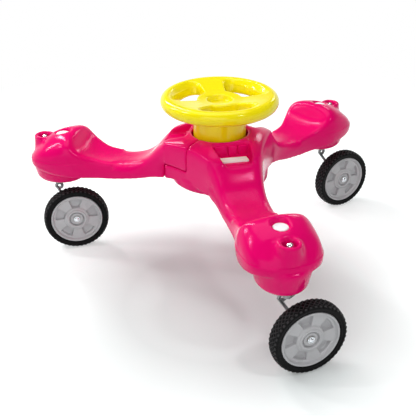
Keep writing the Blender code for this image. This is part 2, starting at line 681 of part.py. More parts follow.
def caster(arm, root):
    """One caster: plate and bolts below the cup, bent leg with its eye, wheel and fixings."""
    angle = math.radians(ARM_ANGLES[arm])
    place = (SWIVEL_DISTANCE * math.cos(angle), SWIVEL_DISTANCE * math.sin(angle), CUP_LEVEL)
    fixed = empty("plate_frame_of_" + arm, place, ARM_ANGLES[arm], root)
    swivel = empty("swivel_of_" + arm, place, CASTER_HEADINGS[arm], root)
    caster_plate(arm, fixed)
    fixings(arm, fixed)
    leg(arm, swivel)
    axle = empty("axle_of_" + arm, (AXLE_OFFSET, TRAIL, WHEEL_RADIUS - CUP_LEVEL), 0, swivel)
    axle.rotation_euler = (0, math.pi / 2, 0)
    wheel(arm, axle)


def flange_level():
    """Underside of the swivel bush, which rests on the rod's eye."""
    return -EYE_DROP + EYE_RADIUS + ROD_RADIUS + GAP


def caster_plate(arm, frame):
    """Oval steel plate under the cup, with the swivel tube welded through it and its bush."""
    top = -GAP
    low = top - PLATE_THICKNESS
    bush_in = ROD_RADIUS + RUNNING_GAP
    bush_out = bush_in + BUSH_WALL
    tube_in = bush_out + GAP
    tube_out = tube_in + SWIVEL_TUBE_WALL
    tube_foot = flange_level() + BUSH_FLANGE + GAP
    half = PLATE_WIDTH / 2
    reach = PLATE_LENGTH / 2 - half
    outline = arc((reach, 0), half, -90, 90, 8) + arc((-reach, 0), half, 90, 270, 8)
    plate = finish("caster_plate_" + arm, prism(outline, low, top), "steel", frame)
    sleeve = lathe([(0, tube_foot), (tube_out, tube_foot), (tube_out, low - 0.0025),
                    (tube_out + 0.0025, low + 0.001), (tube_out + 0.0025, low + 0.002),
                    (tube_out, low + 0.002), (tube_out, SWIVEL_TUBE_TOP), (0, SWIVEL_TUBE_TOP)])
    boolean(plate, [cutter("sleeve_of_" + arm, sleeve, frame)], "UNION")
    holes = []
    for label, distance, radius in (("swivel", 0.0, tube_in),
                                    ("outer", BOLT_SPREAD, BOLT_RADIUS + GAP),
                                    ("inner", -BOLT_SPREAD, BOLT_RADIUS + GAP)):
        hole = lathe([(0, tube_foot - 0.01), (radius, tube_foot - 0.01),
                      (radius, SWIVEL_TUBE_TOP + 0.01), (0, SWIVEL_TUBE_TOP + 0.01)])
        holes.append(placed("plate_hole_%s_%s" % (label, arm), hole, distance, frame))
    boolean(plate, holes)
    foot = flange_level()
    bush = lathe([(bush_in, foot), (bush_out + 0.003, foot), (bush_out + 0.003, foot + BUSH_FLANGE),
                  (bush_out, foot + BUSH_FLANGE), (bush_out, SWIVEL_TUBE_TOP),
                  (bush_in, SWIVEL_TUBE_TOP)])
    finish("swivel_bush_" + arm, bush, "nylon", frame)


def fixings(arm, frame):
    """The two long bolts that hold the plate, their nuts and the push-in cap."""
    head = -2 * GAP - PLATE_THICKNESS
    seat = BOLT_SEAT_HEIGHT
    for label, reach in (("outer", BOLT_SPREAD), ("inner", -BOLT_SPREAD)):
        place = Matrix.Translation((reach, 0, 0))
        shape = prism(hexagon(NUT_WIDTH), head - BOLT_HEAD_HEIGHT, head)
        shape.transform(place)
        bolt = finish("plate_bolt_%s_%s" % (label, arm), shape, "steel", frame)
        tip = seat + BOLT_END
        shank = lathe([(0, head - 0.002), (BOLT_RADIUS, head - 0.002), (BOLT_RADIUS, tip - 0.001),
                       (BOLT_RADIUS - 0.001, tip), (0, tip)])
        shank.transform(place)
        boolean(bolt, [cutter("plate_shank_%s_%s" % (label, arm), shank, frame)], "UNION")
    nut = prism(hexagon(NUT_WIDTH), seat + GAP, seat + GAP + NUT_HEIGHT)
    nut.transform(Matrix.Translation((-BOLT_SPREAD, 0, 0)))
    nut = finish("plain_nut_" + arm, nut, "steel", frame)
    bore = lathe([(0, seat - 0.01), (BOLT_RADIUS + GAP, seat - 0.01),
                  (BOLT_RADIUS + GAP, seat + 0.02), (0, seat + 0.02)])
    bore.transform(Matrix.Translation((-BOLT_SPREAD, 0, 0)))
    boolean(nut, [cutter("nut_bore_" + arm, bore, frame)])
    acorn_nut(arm, frame, seat)
    under = CAP_HEIGHT - CAP_THICKNESS
    cap = lathe([(0, under - 0.002), (CAP_PLUG_RADIUS - 0.003, under - 0.002),
                 (CAP_PLUG_RADIUS - 0.003, under - CAP_PLUG_DEPTH),
                 (CAP_PLUG_RADIUS, under - CAP_PLUG_DEPTH), (CAP_PLUG_RADIUS, under),
                 (CAP_RADIUS, under), (CAP_RADIUS, CAP_HEIGHT - 0.0015),
                 (CAP_RADIUS - 0.0025, CAP_HEIGHT), (0, CAP_HEIGHT)])
    cap.transform(Matrix.Translation((-BOLT_SPREAD, 0, 0)))
    finish("bolt_cap_" + arm, cap, "white", frame)


def acorn_nut(arm, frame, seat):
    """Domed nut: a hexagon with a dome on top, bored from below for the bolt's end."""
    low = seat + GAP
    flat = low + NUT_HEIGHT
    nut = finish("acorn_nut_" + arm, prism(hexagon(NUT_WIDTH), low, flat), "chrome", frame)
    nut.location = (BOLT_SPREAD, 0, 0)
    radius = NUT_WIDTH / 2 - 0.0005
    dome = [(0, flat - 0.002), (radius, flat - 0.002), (radius, flat + 0.001)]
    dome += arc((0, flat + 0.001), radius, 18, 72, 3) + [(0, flat + 0.001 + radius)]
    top = cutter("nut_dome_" + arm, lathe(dome), frame)
    top.location = nut.location
    boolean(nut, [top], "UNION")
    tip = seat + BOLT_END + GAP
    hole = lathe([(0, low - 0.01), (BOLT_RADIUS + GAP, low - 0.01), (BOLT_RADIUS + GAP, tip),
                  (0, tip)])
    bore = cutter("acorn_bore_" + arm, hole, frame)
    bore.location = nut.location
    boolean(nut, [bore])


def leg(arm, swivel):
    """Bent rod: stem up the swivel tube, round eye, slanting leg and axle."""
    axle_z = WHEEL_RADIUS - CUP_LEVEL
    inner_face = AXLE_OFFSET - RIM_WIDTH / 2 - WHEEL_BUSH_WALL
    eye = Vector((0, 0, -EYE_DROP))
    corner = Vector((inner_face - LEG_BEND - ROD_RADIUS, TRAIL, axle_z))
    slant = (corner - eye).normalized()
    start = eye + Vector((0, slant.z, -slant.y)).normalized() * EYE_RADIUS
    into = (corner - start).normalized()
    first = corner - into * LEG_BEND
    last = corner + Vector((LEG_BEND, 0, 0))
    path = [start - into * 0.004]
    for step in range(5):
        t = step / 4
        path.append(first * (1 - t) ** 2 + corner * 2 * t * (1 - t) + last * t * t)
    path.append(Vector((AXLE_OFFSET + RIM_WIDTH / 2 - 0.001, TRAIL, axle_z)))
    rod = finish("caster_leg_" + arm, tube(path, ROD_RADIUS), "steel", swivel)
    collar_low = SWIVEL_TUBE_TOP + GAP
    collar_top = collar_low + COLLAR_HEIGHT
    stem = tube([(0, 0, -EYE_DROP + EYE_RADIUS), (0, 0, collar_top)], ROD_RADIUS - 0.00003)
    ring = lathe(arc((EYE_RADIUS, 0), ROD_RADIUS - 0.00006, 0, 300, 5), 12)
    ring.transform(Matrix.Translation(eye) @ Matrix.Rotation(math.pi / 2, 4, "Y"))
    boolean(rod, [cutter("stem_of_" + arm, stem, swivel), cutter("eye_of_" + arm, ring, swivel)],
            "UNION")
    drilled = lathe([(0, AXLE_OFFSET), (SCREW_RADIUS + GAP, AXLE_OFFSET),
                     (SCREW_RADIUS + GAP, AXLE_OFFSET + 0.03), (0, AXLE_OFFSET + 0.03)], 12)
    drilled.transform(Matrix.Translation((0, TRAIL, axle_z)) @ Matrix.Rotation(math.pi / 2, 4, "Y"))
    boolean(rod, [cutter("screw_room_" + arm, drilled, swivel)])
    stem_room = ROD_RADIUS + GAP
    collar = lathe([(stem_room, collar_low), (COLLAR_RADIUS, collar_low),
                    (COLLAR_RADIUS, collar_top - 0.0015), (COLLAR_RADIUS - 0.0015, collar_top),
                    (stem_room, collar_top)])
    finish("stem_collar_" + arm, collar, "steel", swivel)


def wheel(arm, axle):
    """Tyre, spoked rim, bush, washer and screw, turned about the axle's Z axis."""
    half = RIM_WIDTH / 2
    bush_in = ROD_RADIUS + RUNNING_GAP
    bush_out = bush_in + WHEEL_BUSH_WALL
    seat = TYRE_INNER_RADIUS
    web = half - WEB_DEPTH
    boss = WHEEL_BOSS_RADIUS
    profile = [(bush_out + GAP, -half), (boss - 0.005, -half), (boss - 0.004, -web),
               (seat - 0.009, -web), (seat - 0.007, -half), (seat - GAP, -half),
               (seat - GAP, half), (seat - 0.004, half + RIM_LIP), (seat - 0.010, web),
               (boss + 0.004, web), (boss + 0.001, half), (boss - 0.005, half + 0.001),
               (boss - 0.006, half - 0.002), (bush_out + 0.004, half - 0.002),
               (bush_out + GAP, half)]
    rim = finish("wheel_rim_" + arm, lathe(profile, 24), "grey", axle)
    pockets = []
    for n in range(POCKET_COUNT):
        middle = 90 + 360 / POCKET_COUNT * n
        inner, outer = boss + 0.008, seat - 0.014
        outline = arc((0, 0), outer, middle - 16, middle + 16, 3)
        outline += arc((0, 0), inner, middle + 17, middle - 17, 2)
        pocket = prism(outline, web - 0.007, web + 0.004, 0.001)
        pockets.append(cutter("rim_pocket_%s_%d" % (arm, n), pocket, axle))
    boolean(rim, pockets)
    flange = -half - WHEEL_BUSH_WALL + GAP
    bush = lathe([(bush_in, flange), (bush_out + 0.003, flange), (bush_out + 0.003, -half - GAP),
                  (bush_out, -half - GAP), (bush_out, half), (bush_in, half)])
    finish("wheel_bush_" + arm, bush, "nylon", axle)
    tyre(arm, axle)
    face = half + GAP
    hole = SCREW_RADIUS + GAP
    washer = lathe([(hole, face), (WASHER_RADIUS, face), (WASHER_RADIUS, face + WASHER_THICKNESS),
                    (hole, face + WASHER_THICKNESS)])
    finish("axle_washer_" + arm, washer, "chrome", axle)
    under = face + WASHER_THICKNESS + GAP
    screw = [(0, under - SCREW_LENGTH), (SCREW_RADIUS, under - SCREW_LENGTH), (SCREW_RADIUS, under),
             (SCREW_HEAD_RADIUS, under), (SCREW_HEAD_RADIUS - 0.001, under + SCREW_HEAD_HEIGHT * 0.6),
             (SCREW_HEAD_RADIUS * 0.5, under + SCREW_HEAD_HEIGHT), (0, under + SCREW_HEAD_HEIGHT)]
    screw = finish("axle_screw_" + arm, lathe(screw), "chrome", axle)
    slots = []
    for n in range(2):
        slot = bmesh.new()
        bmesh.ops.create_cube(slot, size=1.0)
        slot.transform(Matrix.Rotation(math.pi / 2 * n + 0.4, 4, "Z")
                       @ Matrix.Translation((0, 0, under + SCREW_HEAD_HEIGHT))
                       @ Matrix.Diagonal((0.0062, 0.0013, 0.0036, 1)))
        slots.append(cutter("screw_slot_%s_%d" % (arm, n), slot, axle))
    boolean(screw, slots)


def tyre(arm, axle):
    """Solid rubber tyre whose crown and shoulders stand up in staggered lugs."""
    half, rim = TYRE_WIDTH / 2, RIM_WIDTH / 2
    outer, inner = WHEEL_RADIUS, TYRE_INNER_RADIUS
    shoulder = outer - SHOULDER_DROP
    low_shoulder = shoulder - TREAD_DEPTH
    profile = [(inner, -rim), (inner + 0.004, -half + 0.001), (low_shoulder - 0.005, -half),
               (low_shoulder, -half + 0.0045), (outer, -half * 0.42), (outer, half * 0.42),
               (low_shoulder, half - 0.0045), (low_shoulder - 0.005, half),
               (inner + 0.004, half - 0.001), (inner, rim)]
    steps = 2 * TREAD_LUGS
    shape = lathe(profile, steps, 0)
    for vert in shape.verts:
        radius = math.hypot(vert.co.x, vert.co.y)
        turn = round(math.atan2(vert.co.y, vert.co.x) / (2 * math.pi) * steps) % 2
        lug = turn == (1 if vert.co.z > 0 else 0)
        wanted = radius
        if abs(radius - low_shoulder) < 1e-5 and lug:
            wanted = shoulder
        if abs(radius - outer) < 1e-5 and not lug:
            wanted = outer - TREAD_DEPTH
        vert.co.x *= wanted / radius
        vert.co.y *= wanted / radius
    finish("tyre_" + arm, shape, "rubber", axle, math.radians(20))


def main():
    clear_scene()
    root = empty("tricycle", (STEERING_AXIS[0], STEERING_AXIS[1], 0))
    body_mouldings(root)
    steering(root)
    for arm in ARM_ANGLES:
        caster(arm, root)


main()
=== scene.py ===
# %% [markdown]
# # A wiggle tricycle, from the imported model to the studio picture
# Three children can sit round one turning wheel here: a pink moulding with three saddle
# arms, each on a caster of its own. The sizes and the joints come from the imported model.
# This notebook gives every surface its real shape and finish, one piece at a time.

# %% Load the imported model
import json
import math

import bmesh
import bpy
from mathutils import Matrix, Vector


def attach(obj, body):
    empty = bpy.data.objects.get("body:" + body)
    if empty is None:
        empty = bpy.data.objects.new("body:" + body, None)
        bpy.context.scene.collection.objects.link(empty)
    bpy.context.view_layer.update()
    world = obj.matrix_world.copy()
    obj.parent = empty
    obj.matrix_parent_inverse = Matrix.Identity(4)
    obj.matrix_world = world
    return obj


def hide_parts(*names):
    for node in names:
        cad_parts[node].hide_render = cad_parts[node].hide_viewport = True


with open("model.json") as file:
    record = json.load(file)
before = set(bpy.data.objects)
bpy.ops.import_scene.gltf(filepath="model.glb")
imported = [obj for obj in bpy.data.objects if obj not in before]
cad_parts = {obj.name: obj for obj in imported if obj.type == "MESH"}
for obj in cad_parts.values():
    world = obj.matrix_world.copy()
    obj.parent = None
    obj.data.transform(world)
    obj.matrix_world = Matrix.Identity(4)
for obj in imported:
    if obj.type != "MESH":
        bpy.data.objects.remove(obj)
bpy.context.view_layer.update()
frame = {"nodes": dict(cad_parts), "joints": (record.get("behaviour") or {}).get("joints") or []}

# %% [markdown]
# ## Where things are
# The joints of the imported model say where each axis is, so no place is typed twice.
# Three kinds of place are used below. An arm's place starts on the steering axis at the
# level of the caster cups and looks out along the arm. A caster's place starts on its
# swivel axis and looks along its axle. A wheel's place has its Z axis along the axle.

# %% Places of the arms, the casters and the wheels
joint = {each["name"]: each for each in frame["joints"]}
cup_level = joint["caster_front_swivel"]["pos_m"][2]
steering_at = Vector(joint["steering_turn"]["pos_m"])
steering_at.z = cup_level
arm_place, caster_place, wheel_place = {}, {}, {}
ARMS = ("front", "left", "right")
for arm in ARMS:
    swivel = Vector(joint["caster_%s_swivel" % arm]["pos_m"])
    out = swivel - steering_at
    arm_turn = Matrix.Rotation(math.atan2(out.y, out.x), 4, "Z")
    arm_place[arm] = Matrix.Translation(steering_at) @ arm_turn
    roll = joint["wheel_%s_roll" % arm]
    heading = Matrix.Rotation(math.atan2(roll["axis"][1], roll["axis"][0]), 4, "Z")
    caster_place[arm] = Matrix.Translation(swivel) @ heading
    wheel_place[arm] = (Matrix.Translation(Vector(roll["pos_m"])) @ heading
                        @ Matrix.Rotation(math.pi / 2, 4, "Y"))
    print(arm, "arm reaches", round(1000 * out.length), "mm to its swivel axis")
swivel_distance = out.length
steering_place = Matrix.Translation(steering_at)

# %% [markdown]
# ## A few tools
# A bmesh is Blender's workshop: a mesh that operators may shape before it becomes an
# object. Four tools are used again and again: one turns a bmesh into a finished piece,
# one spins an outline like a lathe, one cuts or joins solids, and one keeps the result of
# the modifiers. Corners of an outline are rounded before it is spun, because a bevel on
# two dozen corners is easier to control than one on thousands of edges.

# %% Turn a bmesh into an object
def solid(name, shape, place=None, recalculate=True):
    """An object at the origin whose place is in its mesh."""
    if recalculate:
        bmesh.ops.recalc_face_normals(shape, faces=shape.faces)
    if place is not None:
        shape.transform(place)
    mesh = bpy.data.meshes.new(name)
    shape.to_mesh(mesh)
    shape.free()
    mesh.shade_smooth()
    made = bpy.data.objects.new(name, mesh)
    bpy.context.scene.collection.objects.link(made)
    return made


def keep(made, body, finish, *nodes, corners=None):
    """Let a finished object ride on a body, stand for CAD nodes and take a material."""
    if corners:
        made.data.set_sharp_from_angle(angle=math.radians(corners))
    made.data.materials.clear()
    made.data.materials.append(finish)
    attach(made, body)
    if nodes:
        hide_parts(*nodes)
    triangles = sum(len(face.vertices) - 2 for face in made.data.polygons)
    print("%-22s %7d triangles" % (made.name, triangles))
    return made


# %% The lathe
def wire(points, rounding=0.0, segments=3, closed=False):
    """A bmesh line through (radius, height) points; its corners may be rounded."""
    shape = bmesh.new()
    verts = [shape.verts.new((radius, 0, height)) for radius, height in points]
    for n in range(len(verts) - (0 if closed else 1)):
        shape.edges.new((verts[n], verts[(n + 1) % len(verts)]))
    if rounding:
        corners = verts if closed else verts[1:-1]
        bmesh.ops.bevel(shape, geom=corners, offset=rounding, offset_type="OFFSET",
                        segments=segments, profile=0.5, affect="VERTICES", material=-1,
                        clamp_overlap=True)
    return shape


def turned(points, rounding=0.0, steps=64, segments=3, closed=False, start=0.5):
    """Spin an outline about Z. An open outline starts and ends on the axis."""
    shape = wire(points, rounding, segments, closed)
    bmesh.ops.rotate(shape, verts=shape.verts, cent=(0, 0, 0),
                     matrix=Matrix.Rotation(2 * math.pi * start / steps, 3, "Z"))
    bmesh.ops.spin(shape, geom=shape.verts[:] + shape.edges[:], cent=(0, 0, 0),
                   axis=(0, 0, 1), angle=2 * math.pi, steps=steps, use_merge=True,
                   use_duplicate=False)
    bmesh.ops.remove_doubles(shape, verts=shape.verts, dist=1e-6)
    return shape


def take_in(shape, other):
    """Add all of another bmesh to a shape, and free the other."""
    mesh = bpy.data.meshes.new("taken in")
    other.to_mesh(mesh)
    other.free()
    shape.from_mesh(mesh)
    bpy.data.meshes.remove(mesh)


def spot_at(arm, distance):
    """A place on an arm, at a distance from the steering axis."""
    return arm_place[arm] @ Matrix.Translation((distance, 0, 0))


# %% Plan outlines pushed up into solids
def raised(outline, low, high, wider=0.0):
    """A plan outline given its height; wider opens its top, as draft does in a mould."""
    shape = bmesh.new()
    face = shape.faces.new([shape.verts.new((x, y, low)) for x, y in outline])
    lifted = bmesh.ops.extrude_face_region(shape, geom=[face])["geom"]
    top = [item for item in lifted if isinstance(item, bmesh.types.BMVert)]
    middle = sum((vert.co for vert in top), Vector()) / len(top)
    bmesh.ops.translate(shape, verts=top, vec=(0, 0, high - low))
    reach = max((vert.co.xy - middle.xy).length for vert in top)
    bmesh.ops.scale(shape, verts=top, vec=(1 + wider / reach, 1 + wider / reach, 1),
                    space=Matrix.Translation(-middle))
    return shape


def arc(centre, radius, start, end, steps):
    angles = [math.radians(start + (end - start) * n / steps) for n in range(steps + 1)]
    return [(centre[0] + radius * math.cos(a), centre[1] + radius * math.sin(a)) for a in angles]


def soft_corners(corners, radius, segments=4):
    """A plan outline with its corners rounded by the bevel operator."""
    shape = bmesh.new()
    face = shape.faces.new([shape.verts.new((x, y, 0)) for x, y in corners])
    bmesh.ops.bevel(shape, geom=shape.verts[:], offset=radius, offset_type="OFFSET",
                    segments=segments, profile=0.5, affect="VERTICES", material=-1)
    outline = [(vert.co.x, vert.co.y) for vert in shape.faces[:][0].verts]
    shape.free()
    return outline


# %% Cutting, joining and keeping the result
def combine(target, tools, operation):
    """One exact Boolean with all the tools. Triangles first, so that every face is flat."""
    target.modifiers.new("facets", "TRIANGULATE")
    step = target.modifiers.new(operation.lower(), "BOOLEAN")
    step.operation = operation
    step.solver = "EXACT"
    if len(tools) == 1:
        step.object = tools[0]
        return
    group = bpy.data.collections.new(target.name + "_tools")
    bpy.context.scene.collection.children.link(group)
    for tool in tools:
        group.objects.link(tool)
    step.operand_type = "COLLECTION"
    step.collection = group


def settle(made, *tools):
    """Keep what the modifiers made, and put the tools away."""
    graph = bpy.context.evaluated_depsgraph_get()
    mesh = bpy.data.meshes.new_from_object(made.evaluated_get(graph))
    made.modifiers.clear()
    made.data = mesh
    for tool in tools:
        bpy.data.objects.remove(tool, do_unlink=True)
    return made


def moulded(made, grain, passes):
    """Soften every edge, as plastic does that is blown against its mould.

    A voxel remesh gives the skin even faces, and a few smoothing passes round its edges.
    """
    skin = made.modifiers.new("skin", "REMESH")
    skin.mode = "VOXEL"
    skin.voxel_size = grain
    settle(made)
    shape = bmesh.new()
    shape.from_mesh(made.data)
    for _ in range(passes):
        bmesh.ops.smooth_vert(shape, verts=shape.verts, factor=0.5,
                              use_axis_x=True, use_axis_y=True, use_axis_z=True)
    shape.to_mesh(made.data)
    shape.free()
    made.data.shade_smooth()
    return made


def soften(made, place, inner, outer, low, high, passes):
    """More smoothing passes, only on a ring of the skin round an upright axis."""
    shape = bmesh.new()
    shape.from_mesh(made.data)
    back = place.inverted()
    ring = []
    for vert in shape.verts:
        at = back @ vert.co
        if inner < math.hypot(at.x, at.y) < outer and low < at.z < high:
            ring.append(vert)
    for _ in range(passes):
        bmesh.ops.smooth_vert(shape, verts=ring, factor=0.5,
                              use_axis_x=True, use_axis_y=True, use_axis_z=True)
    shape.to_mesh(made.data)
    shape.free()
    print(made.name, "softened at", len(ring), "corners")


# %% [markdown]
# ## Materials: what every moulded surface shares
# A mould is never a mirror. Its polish leaves a faint orange peel, and the colour of
# the plastic drifts a little over a large moulding. That is one effect on several
# plastics, so it is a node group: built once, and placed in each material with its own
# numbers. The group gives a tone for the colour and a height for the bump.

# %% The moulded skin group
def group_node(tree, group, **values):
    node = tree.nodes.new("ShaderNodeGroup")
    node.node_tree = group
    for name, value in values.items():
        node.inputs[name.replace("_", " ")].default_value = value
    return node


def moulded_skin():
    group = bpy.data.node_groups.new("moulded skin", "ShaderNodeTree")
    face = group.interface
    face.new_socket("Place", in_out="INPUT", socket_type="NodeSocketVector")
    face.new_socket("Peel size", in_out="INPUT", socket_type="NodeSocketFloat")
    face.new_socket("Drift size", in_out="INPUT", socket_type="NodeSocketFloat")
    face.new_socket("Tone", in_out="OUTPUT", socket_type="NodeSocketFloat")
    face.new_socket("Height", in_out="OUTPUT", socket_type="NodeSocketFloat")
    enter, leave = group.nodes.new("NodeGroupInput"), group.nodes.new("NodeGroupOutput")
    peel, drift = group.nodes.new("ShaderNodeTexNoise"), group.nodes.new("ShaderNodeTexNoise")
    peel.inputs["Detail"].default_value = 2.0
    drift.inputs["Detail"].default_value = 3.0
    group.links.new(enter.outputs["Place"], peel.inputs["Vector"])
    group.links.new(enter.outputs["Place"], drift.inputs["Vector"])
    group.links.new(enter.outputs["Peel size"], peel.inputs["Scale"])
    group.links.new(enter.outputs["Drift size"], drift.inputs["Scale"])
    group.links.new(drift.outputs["Fac"], leave.inputs["Tone"])
    group.links.new(peel.outputs["Fac"], leave.inputs["Height"])
    return group


skin_group = moulded_skin()
print("node group with", len(skin_group.nodes), "nodes:", skin_group.name)

# %% [markdown]
# ## Handling marks
# Metal and rubber carry another shared effect: small patches that are duller or dustier
# than the rest. A stretched noise through a ramp makes the patches, and each material
# decides what they change.

# %% The handling marks group
def handling_marks():
    group = bpy.data.node_groups.new("handling marks", "ShaderNodeTree")
    face = group.interface
    face.new_socket("Place", in_out="INPUT", socket_type="NodeSocketVector")
    face.new_socket("Patch size", in_out="INPUT", socket_type="NodeSocketFloat")
    face.new_socket("Marks", in_out="OUTPUT", socket_type="NodeSocketFloat")
    face.new_socket("Height", in_out="OUTPUT", socket_type="NodeSocketFloat")
    enter, leave = group.nodes.new("NodeGroupInput"), group.nodes.new("NodeGroupOutput")
    patches, grain = group.nodes.new("ShaderNodeTexNoise"), group.nodes.new("ShaderNodeTexNoise")
    patches.inputs["Detail"].default_value = 4.0
    patches.inputs["Distortion"].default_value = 0.6
    grain.inputs["Scale"].default_value = 1400.0
    narrow = group.nodes.new("ShaderNodeMapRange")
    narrow.inputs["From Min"].default_value = 0.42
    narrow.inputs["From Max"].default_value = 0.68
    group.links.new(enter.outputs["Place"], patches.inputs["Vector"])
    group.links.new(enter.outputs["Place"], grain.inputs["Vector"])
    group.links.new(enter.outputs["Patch size"], patches.inputs["Scale"])
    group.links.new(patches.outputs["Fac"], narrow.inputs["Value"])
    group.links.new(narrow.outputs["Result"], leave.inputs["Marks"])
    group.links.new(grain.outputs["Fac"], leave.inputs["Height"])
    return group


marks_group = handling_marks()
print("node group with", len(marks_group.nodes), "nodes:", marks_group.name)


# %% The parts that every material has
def begin(name, slot):
    """A new material, its tree, its shader and its place node."""
    finish = bpy.data.materials.new(name)
    finish.use_nodes = True
    tree = finish.node_tree
    shader = tree.nodes["Principled BSDF"]
    place = tree.nodes.new("ShaderNodeTexCoord").outputs["Object"]
    return finish, tree, shader, place


def two_tones(tree, shader, mask, first, second):
    mix = tree.nodes.new("ShaderNodeMix")
    mix.data_type = "RGBA"
    mix.inputs["A"].default_value = first
    mix.inputs["B"].default_value = second
    tree.links.new(mask, mix.inputs["Factor"])
    tree.links.new(mix.outputs["Result"], shader.inputs["Base Color"])
    return mix


def mapped(tree, value, low, high, start=0.0, end=1.0):
    """A number that goes from low to high while the value goes from start to end."""
    node = tree.nodes.new("ShaderNodeMapRange")
    node.inputs["From Min"].default_value = start
    node.inputs["From Max"].default_value = end
    node.inputs["To Min"].default_value = low
    node.inputs["To Max"].default_value = high
    tree.links.new(value, node.inputs["Value"])
    return node.outputs["Result"]


def joined(tree, operation, first, second):
    """One number out of two, such as their product or the larger."""
    node = tree.nodes.new("ShaderNodeMath")
    node.operation = operation
    tree.links.new(first, node.inputs[0])
    tree.links.new(second, node.inputs[1])
    return node.outputs["Value"]


def bumped(tree, shader, height, distance):
    bump = tree.nodes.new("ShaderNodeBump")
    bump.inputs["Distance"].default_value = distance
    bump.inputs["Strength"].default_value = 1.0
    tree.links.new(height, bump.inputs["Height"])
    tree.links.new(bump.outputs["Normal"], shader.inputs["Normal"])
    return bump


# %% [markdown]
# ## Plastics
# The body, the wheel and the hubs are coloured through, so their base colour is strong
# and their gloss comes from the clear reflection on top. Their differences are the
# colour, how rough the mould was, and how coarse the peel is.

# %% Plastics
def plastic(name, slot, deep, light, low, high, peel, depth, level=0.5):
    finish, tree, shader, place = begin(name, slot)
    skin = group_node(tree, skin_group, Peel_size=peel, Drift_size=7.0)
    tree.links.new(place, skin.inputs["Place"])
    two_tones(tree, shader, skin.outputs["Tone"], deep, light)
    tree.links.new(mapped(tree, skin.outputs["Tone"], low, high, 0.3, 0.7),
                   shader.inputs["Roughness"])
    shader.inputs["Specular IOR Level"].default_value = level
    bumped(tree, shader, skin.outputs["Height"], depth)
    return finish


yellow = plastic("yellow plastic", "yellow", (0.86, 0.72, 0.0010, 1), (0.90, 0.77, 0.0015, 1),
                 0.10, 0.15, 260, 0.00008, 0.50)
yellow_shader = yellow.node_tree.nodes["Principled BSDF"]
yellow_shader.inputs["Specular Tint"].default_value = (1, 0.97, 0.62, 1)
grey = plastic("grey plastic", "grey", (0.46, 0.455, 0.47, 1), (0.50, 0.495, 0.51, 1),
               0.24, 0.32, 420, 0.00006)
white = plastic("white plastic", "white", (0.88, 0.93, 0.94, 1), (0.91, 0.96, 0.97, 1),
                0.24, 0.30, 300, 0.00004)
nylon = plastic("milky nylon", "nylon", (0.56, 0.55, 0.51, 1), (0.64, 0.63, 0.59, 1),
                0.42, 0.50, 500, 0.00008)

# %% [markdown]
# ## The pink plastic
# The saddles of the three arms are pebbled, so that a child doesn't slide off, and the
# rest of the moulding is polished. The pebbles are a bump that fades in with the
# distance from the steering axis, and only on faces that look up.

# %% Pink plastic
def pink_plastic():
    finish, tree, shader, place = begin("pink plastic", "pink")
    skin = group_node(tree, skin_group, Peel_size=240.0, Drift_size=6.0)
    tree.links.new(place, skin.inputs["Place"])
    two_tones(tree, shader, skin.outputs["Tone"],
              (0.74, 0.0008, 0.126, 1), (0.78, 0.0012, 0.142, 1))
    tree.links.new(mapped(tree, skin.outputs["Tone"], 0.14, 0.19, 0.3, 0.7),
                   shader.inputs["Roughness"])
    shader.inputs["Specular IOR Level"].default_value = 0.22
    shader.inputs["Specular Tint"].default_value = (1, 0.42, 0.74, 1)
    centred = tree.nodes.new("ShaderNodeMapping")
    centred.inputs["Location"].default_value = (-steering_at.x, -steering_at.y, 0)
    tree.links.new(place, centred.inputs["Vector"])
    level = tree.nodes.new("ShaderNodeVectorMath")
    level.operation = "MULTIPLY"
    level.inputs[1].default_value = (1, 1, 0)
    tree.links.new(centred.outputs["Vector"], level.inputs[0])
    reach = tree.nodes.new("ShaderNodeVectorMath")
    reach.operation = "LENGTH"
    tree.links.new(level.outputs["Vector"], reach.inputs[0])
    rise = mapped(tree, reach.outputs["Value"], 0.0, 1.0, 0.175, 0.200)
    fall = mapped(tree, reach.outputs["Value"], 1.0, 0.0, 0.350, 0.375)
    normal = tree.nodes.new("ShaderNodeSeparateXYZ")
    geometry = tree.nodes.new("ShaderNodeNewGeometry")
    tree.links.new(geometry.outputs["Normal"], normal.inputs["Vector"])
    upward = mapped(tree, normal.outputs["Z"], 0.0, 1.0, 0.55, 0.75)
    patch = joined(tree, "MULTIPLY", joined(tree, "MULTIPLY", rise, fall), upward)
    pebble = tree.nodes.new("ShaderNodeTexVoronoi")
    pebble.inputs["Scale"].default_value = 420.0
    pebble.feature = "SMOOTH_F1"
    tree.links.new(place, pebble.inputs["Vector"])
    rough = joined(tree, "MULTIPLY", pebble.outputs["Distance"], patch)
    total = tree.nodes.new("ShaderNodeMath")
    total.operation = "MULTIPLY_ADD"
    total.inputs[1].default_value = 0.30
    tree.links.new(skin.outputs["Height"], total.inputs[0])
    tree.links.new(rough, total.inputs[2])
    bumped(tree, shader, total.outputs["Value"], 0.0004)
    return finish


pink = pink_plastic()

# %% [markdown]
# ## Rubber and metals
# Solid rubber is nearly black and dull, a little greyer in patches, and the ridges of its
# tread are painted grey, a painted highlight where they would catch the light.
# The rods are dull zinc, and the nuts and screws are bright plate. Handling marks set
# their roughness, so that no two places shine quite alike.

# %% Rubber and metals
def worn(name, slot, first, second, low, high, patch, metallic, depth, level=0.5):
    finish, tree, shader, place = begin(name, slot)
    marks = group_node(tree, marks_group, Patch_size=patch)
    tree.links.new(place, marks.inputs["Place"])
    two_tones(tree, shader, marks.outputs["Marks"], first, second)
    tree.links.new(mapped(tree, marks.outputs["Marks"], low, high), shader.inputs["Roughness"])
    shader.inputs["Metallic"].default_value = metallic
    shader.inputs["Specular IOR Level"].default_value = level
    bumped(tree, shader, marks.outputs["Height"], depth)
    return finish


